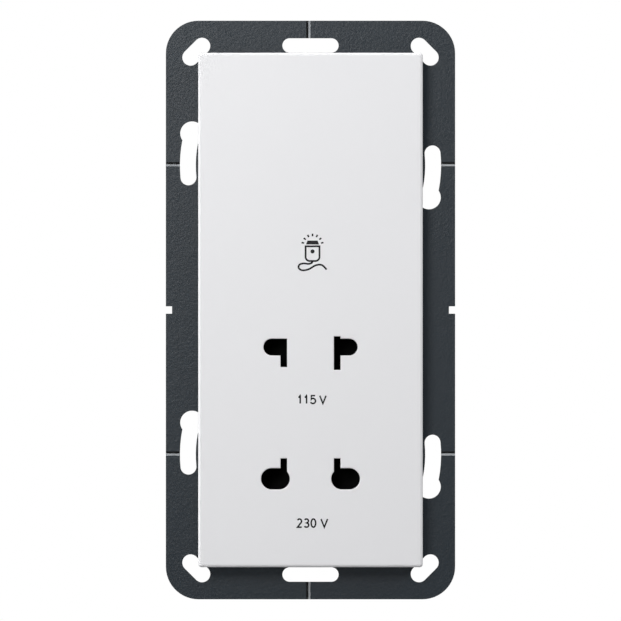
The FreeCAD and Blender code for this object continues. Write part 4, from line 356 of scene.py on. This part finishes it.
# %% Mouldings
carrier_black = finish("carrier_black", (0.014, 0.014, 0.015), 0.6, grain=0.02, grain_size=0.5, tone=0.1,
                       specular=0.3)
base_black = finish("base_black", (0.022, 0.022, 0.024), 0.55, grain=0.02, grain_size=0.5, tone=0.1,
                    specular=0.3)
shutter_black = finish("shutter_black", (0.005, 0.005, 0.005), 0.35, grain=0.004, grain_size=0.6, tone=0.1,
                       specular=0.2)
housing_grey = finish("housing_grey", (0.06, 0.064, 0.068), 0.5, grain=0.03, grain_size=0.6, tone=0.08,
                      specular=0.35)
block_grey = finish("block_grey", (0.52, 0.52, 0.50), 0.45, grain=0.01, grain_size=0.5, tone=0.05)
switch_grey = finish("switch_grey", (0.03, 0.03, 0.036), 0.45, grain=0.008, grain_size=0.4, tone=0.08)
button_red = finish("button_red", (0.45, 0.05, 0.035), 0.4, grain=0.004, grain_size=0.3, tone=0.05)
nylon = finish("nylon", (0.62, 0.60, 0.52), 0.42, grain=0.006, grain_size=0.8, tone=0.04)
cutout_beige = finish("cutout_beige", (0.50, 0.46, 0.38), 0.5, grain=0.01, grain_size=0.5, tone=0.06)
dress(carrier_black, "front_carrier")
dress(base_black, "contact_base", "base_backplate")
dress(shutter_black, "shutter_115", "shutter_230")
dress(housing_grey, "rear_housing")
dress(block_grey, "terminal_block")
dress(switch_grey, "switch_body_115", "switch_body_230")
dress(button_red, "switch_plunger_115", "switch_plunger_230")
dress(nylon, "coil_former")
dress(cutout_beige, "thermal_cutout")

# %% [markdown]
# Metal shows how it was worked. Rolled strip and turned pillars have long faint streaks, so their
# noise is stretched along one axis. Zinc plating has a cloudy shimmer, so its tone changes in small
# patches, and spring wire is bright and nearly smooth.

# %% Metals
rolled_brass = finish("rolled_brass", (0.70, 0.49, 0.20), 0.28, 1.0, grain=0.004, grain_size=0.5,
                      stretch=(1, 0.06, 1), tone=0.08, tone_size=3.0)
turned_brass = finish("turned_brass", (0.72, 0.52, 0.22), 0.22, 1.0, grain=0.003, grain_size=0.3,
                      stretch=(1, 1, 0.1), tone=0.06, tone_size=2.0)
tinned_strip = finish("tinned_strip", (0.66, 0.65, 0.61), 0.3, 1.0, grain=0.004, grain_size=0.5,
                      stretch=(1, 1, 0.08), tone=0.07, tone_size=3.0)
zinc_plate = finish("zinc_plate", (0.60, 0.61, 0.60), 0.33, 1.0, grain=0.004, grain_size=0.3, tone=0.12,
                    tone_size=1.2)
spring_steel = finish("spring_steel", (0.56, 0.56, 0.57), 0.25, 1.0, grain=0.002, grain_size=0.1, tone=0.05)
dress(rolled_brass, "contact_115_left", "contact_115_right", "contact_230_left", "contact_230_right")
dress(tinned_strip, "switch_tabs_115", "switch_tabs_230", "earth_strap")
dress(turned_brass, "terminal_live", "terminal_neutral", "terminal_earth")
dress(zinc_plate, "core_screws", "housing_screws", "frame_screws", "base_screws", "terminal_screws")

# %% [markdown]
# The transformer core is a pack of thin steel sheets, and its edges show a line for every sheet. The
# windings are hundreds of turns of enamelled wire side by side. Both are regular stripes, so a Wave
# texture makes them: bands across the stack for the sheets, bands along the coil for the turns.

# %% Sheets and turns
def striped(material, axis, pitch, depth, dark):
    """Adds fine grooves every pitch millimetres along an axis, darker in the groove."""
    tree = material.node_tree
    shader = tree.nodes["Principled BSDF"]
    place = tree.nodes.new("ShaderNodeTexCoord")
    # a band repeats every 2 pi over 20 texture units at scale 1, so this scale gives one each pitch
    bands = node_of(tree, "ShaderNodeTexWave", wave_type="BANDS", bands_direction=axis,
                    in_Scale=math.pi / 10 / (pitch * MM))
    bump = node_of(tree, "ShaderNodeBump", in_Strength=1.0, in_Distance=depth * MM)
    shade = node_of(tree, "ShaderNodeMapRange", in_To_Min=dark, in_To_Max=1.0)
    colour = tuple(shader.inputs["Base Color"].default_value)
    tree.links.new(place.outputs["Object"], bands.inputs["Vector"])
    tree.links.new(bands.outputs["Fac"], bump.inputs["Height"])
    tree.links.new(bands.outputs["Fac"], shade.inputs["Value"])
    tree.links.new(blended(tree, "MULTIPLY", colour, shade.outputs[0]), shader.inputs["Base Color"])
    tree.links.new(bump.outputs[0], shader.inputs["Normal"])
    return material


core_sheets = striped(finish("core_sheets", (0.20, 0.205, 0.22), 0.4, 0.9), "Y", 0.5, 0.05, 0.35)
copper_turns = striped(finish("copper_turns", (0.66, 0.25, 0.09), 0.3, 0.9), "X", 0.28, 0.06, 0.45)
coil_film = finish("coil_film", (0.80, 0.52, 0.05), 0.22, grain=0.01, grain_size=2.5, tone=0.06, specular=0.6)
dress(core_sheets, "core_e_stack", "core_i_stack")
dress(copper_turns, "primary_winding", "secondary_winding")
dress(coil_film, "winding_insulation", "coil_tape")

# %% [markdown]
# The springs and the leads inside are all round wire along some path. Geometry Nodes make that well:
# Curve to Mesh carries a circle along a curve. Each tree ends with Realize Instances and Set
# Material. The result is then made a plain mesh, because the export drops live node trees.

# %% Round wire
WIRE_SIDES = 14


def wire_tree(name, numbers):
    """A node tree that gives a curve a round wire. The numbers name inputs, and the curve comes later."""
    tree = bpy.data.node_groups.new(name, "GeometryNodeTree")
    tree.interface.new_socket("Geometry", in_out="OUTPUT", socket_type="NodeSocketGeometry")
    tree.interface.new_socket("Path", in_out="INPUT", socket_type="NodeSocketGeometry")
    for number in numbers + ("Wire",):
        tree.interface.new_socket(number, in_out="INPUT", socket_type="NodeSocketFloat")
    tree.interface.new_socket("Skin", in_out="INPUT", socket_type="NodeSocketMaterial")
    inside = tree.nodes.new("NodeGroupInput")
    outside = tree.nodes.new("NodeGroupOutput")
    ring = node_of(tree, "GeometryNodeCurvePrimitiveCircle", in_Resolution=WIRE_SIDES)
    sweep = node_of(tree, "GeometryNodeCurveToMesh", in_Fill_Caps=True)
    smooth = tree.nodes.new("GeometryNodeSetShadeSmooth")
    real = tree.nodes.new("GeometryNodeRealizeInstances")
    coat = tree.nodes.new("GeometryNodeSetMaterial")
    tree.links.new(inside.outputs["Wire"], ring.inputs["Radius"])
    tree.links.new(inside.outputs["Skin"], coat.inputs["Material"])
    tree.links.new(ring.outputs[0], sweep.inputs["Profile Curve"])
    for source, target in ((sweep, smooth), (smooth, real), (real, coat), (coat, outside)):
        tree.links.new(source.outputs[0], target.inputs[0])
    return tree, inside, sweep


def made_plain(name, tree, values, matrix=Matrix(), path=()):
    """Runs a node tree on a path of points, or on nothing, and keeps the result as a plain mesh."""
    line = bpy.data.meshes.new(name + "_path")
    line.from_pydata(path, [(i, i + 1) for i in range(len(path) - 1)], [])
    carrier = bpy.data.objects.new(name + "_tree", line)
    bpy.context.scene.collection.objects.link(carrier)
    modifier = carrier.modifiers.new("tree", "NODES")
    modifier.node_group = tree
    for item in tree.interface.items_tree:
        if item.in_out == "INPUT" and item.name in values:
            modifier[item.identifier] = values[item.name]
    carrier.update_tag()
    evaluated = carrier.evaluated_get(bpy.context.evaluated_depsgraph_get())
    mesh = bpy.data.meshes.new_from_object(evaluated)
    bpy.data.objects.remove(carrier)
    mesh.name = name
    mesh.transform(matrix)
    piece = bpy.data.objects.new(name, mesh)
    bpy.context.scene.collection.objects.link(piece)
    return piece


print("round wire has", WIRE_SIDES, "sides")

# %% [markdown]
# Each shutter is pushed home by a small compression spring. A spring follows a rule exactly: Curve
# Spiral with equal radii and a height is a helix, and it is wound about Z and then laid along X.
# A spring pushes on a fixed post with one end and on the shutter with the other, so it rides with the
# fixed pieces.

# %% Springs
SPRING_TURNS = 7.0
WIRE_RADIUS = 0.14 * MM


def spring_tree():
    """Winds a spring of given turns, radius and length about the Z axis."""
    tree, inside, sweep = wire_tree("wind_spring", ("Turns", "Radius", "Length"))
    helix = node_of(tree, "GeometryNodeCurveSpiral", in_Resolution=40)
    for source, target in (("Turns", "Rotations"), ("Radius", "Start Radius"), ("Radius", "End Radius"),
                           ("Length", "Height")):
        tree.links.new(inside.outputs[source], helix.inputs[target])
    tree.links.new(helix.outputs[0], sweep.inputs["Curve"])
    return tree


along_x = Matrix.Rotation(math.radians(90), 4, "Y")
winding = spring_tree()
for volts in ("115", "230"):
    low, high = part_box("shutter_spring_" + volts)
    middle = (low + high) / 2
    radius = (high.z - low.z) / 2 - WIRE_RADIUS
    length = high.x - low.x - 2 * WIRE_RADIUS
    spring = made_plain("steel_spring_" + volts, winding,
                        {"Turns": SPRING_TURNS, "Radius": radius, "Length": length, "Wire": WIRE_RADIUS,
                         "Skin": spring_steel},
                        Matrix.Translation((low.x + WIRE_RADIUS, middle.y, middle.z)) @ along_x)
    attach(spring, "root")
    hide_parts("shutter_spring_" + volts)
    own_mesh(spring)

# %% [markdown]
# The leads are thin insulated wires, laid in straight runs with a short bend at each corner. Each one
# lies in a plane of constant X, so its route is that X and a path of points in Y and Z, all in
# millimetres. Fillet Curve rounds the corners and the round section follows. The colours tell the
# wires apart: brown is live, blue neutral, black the common output and red the two voltages.

# %% Leads
LEAD_RADIUS = 0.8
LEAD_BEND = 1.5
LEAD_COLOURS = {"brown": (0.11, 0.04, 0.02), "blue": (0.015, 0.07, 0.30), "black": (0.012, 0.012, 0.013),
                "red": (0.35, 0.015, 0.012)}
LEADS = {
    "lead_live": ("brown", -10.5, ((20, -41), (18.5, -41), (18.5, -48.85), (16, -48.85))),
    "lead_link": ("brown", -5.4, ((16, -48.85), (18.5, -48.85), (18.5, -19.59), (16, -19.59))),
    "lead_cutout": ("brown", -0.3, ((16, -19.59), (18.5, -19.59), (18.5, -2.115), (5.4, -2.115),
                                    (5.4, 15.95))),
    "lead_neutral": ("blue", 0, ((22.4, -40.6), (22.4, -4.515), (36.5, -4.515), (36.5, 8.25))),
    "lead_common_link": ("black", -7.9, ((17, -41.35), (18.5, -41.35), (18.5, -10.14), (17, -10.14))),
    "lead_common": ("black", -7.9, ((17, -8.04), (18.5, -8.04), (18.5, -2.115), (11.3, -2.115),
                                    (11.3, 8.25))),
    "lead_tap_115": ("red", 7.9, ((17, -9.09), (18.5, -9.09), (18.5, -2.115), (11.3, -2.115),
                                  (11.3, 8.25))),
    "lead_tap_230": ("red", 7.9, ((17, -41.35), (20.6, -41.35), (20.6, -4.515), (36.5, -4.515),
                                  (36.5, 8.25))),
}


def lead_tree():
    """Lays a lead along a path, with corners of a given bend."""
    tree, inside, sweep = wire_tree("lay_lead", ("Bend",))
    route = tree.nodes.new("GeometryNodeMeshToCurve")
    corners = node_of(tree, "GeometryNodeFilletCurve", mode="POLY", in_Count=7, in_Limit_Radius=True)
    tree.links.new(inside.outputs["Path"], route.inputs[0])
    tree.links.new(inside.outputs["Bend"], corners.inputs["Radius"])
    tree.links.new(route.outputs[0], corners.inputs[0])
    tree.links.new(corners.outputs[0], sweep.inputs["Curve"])
    return tree


skins = {}
for colour, shade in LEAD_COLOURS.items():
    skins[colour] = finish("lead_" + colour, shade, 0.38, grain=0.006, grain_size=0.25, tone=0.08,
                           tone_size=2.0)
laying = lead_tree()
for name, (colour, x, route) in LEADS.items():
    values = {"Bend": LEAD_BEND * MM, "Wire": LEAD_RADIUS * MM, "Skin": skins[colour]}
    lead = made_plain("laid_" + name, laying, values, path=[(x * MM, y * MM, z * MM) for y, z in route])
    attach(lead, "root")
    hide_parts(name)
print(len(LEADS), "leads laid")

# %% [markdown]
# The marks on the cover are printed: a small shaver drawn in thin lines, and the two voltages. They
# are drawn flat first, in millimetres on the face. A line is a strip of even width along a path of
# points, and round stretches are arcs, so that every shape follows from a few measures.

# %% Drawn lines
def oval(centre, wide, high, start, stop, steps=16):
    """Points on an oval between two angles in degrees."""
    points = []
    for i in range(steps + 1):
        turn = math.radians(start + (stop - start) * i / steps)
        points.append((centre[0] + wide * math.cos(turn), centre[1] + high * math.sin(turn)))
    return points


def arc(centre, radius, start, stop, steps=16):
    """Points on a circle between two angles in degrees."""
    return oval(centre, radius, radius, start, stop, steps)


def line_strip(maker, points, width, closed=False):
    """Adds a flat strip along points on the face, in millimetres."""
    count = len(points)
    left, right = [], []
    for i, (x, z) in enumerate(points):
        before = points[i - 1] if i or closed else points[i]
        after = points[(i + 1) % count] if i + 1 < count or closed else points[i]
        first = Vector((x - before[0], z - before[1]))
        second = Vector((after[0] - x, after[1] - z))
        first = first.normalized() if first.length else second.normalized()
        second = second.normalized() if second.length else first
        mean = (first + second).normalized()
        half = width / 2 / max(mean.dot(first), 0.4)
        left.append(maker.verts.new((x - mean.y * half, 0, z + mean.x * half)))
        right.append(maker.verts.new((x + mean.y * half, 0, z - mean.x * half)))
    for i in range(count if closed else count - 1):
        j = (i + 1) % count
        maker.faces.new((left[i], left[j], right[j], right[i]))


def filled(maker, points):
    """Adds one flat face inside an outline."""
    maker.faces.new([maker.verts.new((x, 0, z)) for x, z in points])


print("lines and filled shapes ready")

# %% [markdown]
# A print is a film of ink. The flat drawing is therefore raised by about a hundredth of a millimetre
# on the face: thick enough to cover it cleanly, and too thin to cast a shadow. The ink is matt black.

# %% Ink film
INK_HEIGHT = 0.012 * MM
cover_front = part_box("cover_plate")[0].y
ink = finish("ink", (0.004, 0.004, 0.005), 0.5, grain=0.001, grain_size=0.2, tone=0.05, tone_size=1.0,
             specular=0.15)


def printed(name, maker):
    """Turns flat faces into a film of ink on the cover."""
    bmesh.ops.recalc_face_normals(maker, faces=maker.faces)
    for face in maker.faces:
        if face.normal.y > 0:
            face.normal_flip()
    made = bmesh.ops.extrude_face_region(maker, geom=maker.faces[:])
    top = [v for v in made["geom"] if isinstance(v, bmesh.types.BMVert)]
    bmesh.ops.translate(maker, verts=top, vec=(0, -INK_HEIGHT / MM, 0))
    bmesh.ops.recalc_face_normals(maker, faces=maker.faces)
    mesh = bpy.data.meshes.new(name)
    maker.to_mesh(mesh)
    maker.free()
    mesh.transform(Matrix.Translation((0, cover_front, 0)) @ Matrix.Scale(MM, 4))
    mesh.materials.append(ink)
    mark = bpy.data.objects.new(name, mesh)
    bpy.context.scene.collection.objects.link(mark)
    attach(mark, "root")
    return mark


print("ink film", INK_HEIGHT / MM, "mm thick")

# %% [markdown]
# The shaver mark is this part's own plain drawing: a handle with a rounded foot and a switch dot, a
# solid cutting head under a fan of short strokes, and a cord that loops away below.

# %% Shaver mark
DRAWING_X = 0.5
LINE = 0.45
HANDLE_HALF = 1.7
HANDLE_FOOT = 12.0
HANDLE_TOP = 15.6
FOOT_RADIUS = 1.0
DOT_HEIGHT = 14.35
DOT_RADIUS = 0.5
HEAD = ((-1.6, 16.05), (1.6, 16.05), (1.25, 17.0), (-1.25, 17.0))
FAN_HEIGHT = 15.95
STROKE_START = 2.1
STROKE_END = 2.75
STROKE_WIDTH = 0.4
CORD = [(DRAWING_X, 11.95), (0.3, 11.55), (-0.45, 11.3), (-1.7, 11.4), (-2.7, 11.1), (-2.9, 10.3),
        (-2.0, 9.72), (-0.4, 10.0), (1.3, 10.95), (2.8, 11.0), (3.95, 9.9)]


def smooth_line(points, steps=8):
    """A soft curve through all the points."""
    ends = [points[0]] + points + [points[-1]]
    line = []
    for a, b, c, d in zip(ends, ends[1:], ends[2:], ends[3:]):
        for i in range(steps):
            t = i / steps
            line.append(tuple(0.5 * (2 * b[k] + (c[k] - a[k]) * t
                                     + (2 * a[k] - 5 * b[k] + 4 * c[k] - d[k]) * t ** 2
                                     + (3 * b[k] - a[k] - 3 * c[k] + d[k]) * t ** 3) for k in (0, 1)))
    return line + [points[-1]]


drawing = bmesh.new()
side = HANDLE_HALF - FOOT_RADIUS
handle = (arc((DRAWING_X - side, HANDLE_FOOT + FOOT_RADIUS), FOOT_RADIUS, 180, 270)
          + arc((DRAWING_X + side, HANDLE_FOOT + FOOT_RADIUS), FOOT_RADIUS, 270, 360)
          + [(DRAWING_X + HANDLE_HALF, HANDLE_TOP), (DRAWING_X - HANDLE_HALF, HANDLE_TOP)])
line_strip(drawing, handle, LINE, closed=True)
filled(drawing, [(DRAWING_X + x, z) for x, z in HEAD])
filled(drawing, arc((DRAWING_X, DOT_HEIGHT), DOT_RADIUS, 0, 345, 23))
for turn in range(12, 169, 26):
    ray = Vector((math.cos(math.radians(turn)), math.sin(math.radians(turn))))
    ends = [(DRAWING_X + ray.x * far, FAN_HEIGHT + ray.y * far) for far in (STROKE_START, STROKE_END)]
    line_strip(drawing, ends, STROKE_WIDTH)
line_strip(drawing, smooth_line(CORD), LINE)
shaver_mark = printed("shaver_mark", drawing)
print("shaver mark", len(shaver_mark.data.polygons), "faces")

# %% [markdown]
# The two voltages are plain figures of one even line, a good two millimetres high. Each is a short
# path in a box as wide and as high as the figure. A row of figures has its foot and its top on the
# face, and each figure in it has a left and a right side.

# %% Voltages
FIGURE_LINE = 0.39
FIGURE_PATHS = {
    "0": [oval((0.5, 0.5), 0.5, 0.5, 0, 345, 23)],
    "1": [[(0.0, 0.74), (0.3, 0.82), (0.9, 1.0), (0.95, 0.97), (0.95, 0.0)]],
    "2": [oval((0.48, 0.72), 0.46, 0.28, 155, -28) + [(0.04, 0.0), (1.0, 0.0)]],
    "3": [oval((0.46, 0.76), 0.44, 0.24, 150, -85) + oval((0.46, 0.26), 0.52, 0.26, 80, -150)],
    "5": [[(0.92, 1.0), (0.15, 1.0), (0.08, 0.52)] + oval((0.46, 0.33), 0.54, 0.33, 125, -155)],
    "V": [[(0.0, 1.0), (0.5, 0.0), (1.0, 1.0)]],
}


def figures(name, low, high, places):
    """A row of figures as ink, from low to high, each between its own left and right side."""
    maker = bmesh.new()
    half = FIGURE_LINE / 2
    for figure, left, right in places:
        for path in FIGURE_PATHS[figure]:
            points = [(left + half + x * (right - left - 2 * half), low + half + z * (high - low - 2 * half))
                      for x, z in path]
            line_strip(maker, points, FIGURE_LINE, closed=(figure == "0"))
    return printed(name, maker)


row_115 = figures("figures_115", -23.1, -20.78,
                  [("1", -3.12, -2.30), ("1", -1.57, -0.75), ("5", -0.14, 1.42), ("V", 2.08, 4.0)])
row_230 = figures("figures_230", -53.38, -50.98,
                  [("2", -3.42, -1.95), ("3", -1.68, -0.22), ("0", -0.03, 1.46), ("V", 2.38, 4.38)])
print("voltages", len(row_115.data.polygons) + len(row_230.data.polygons), "faces")
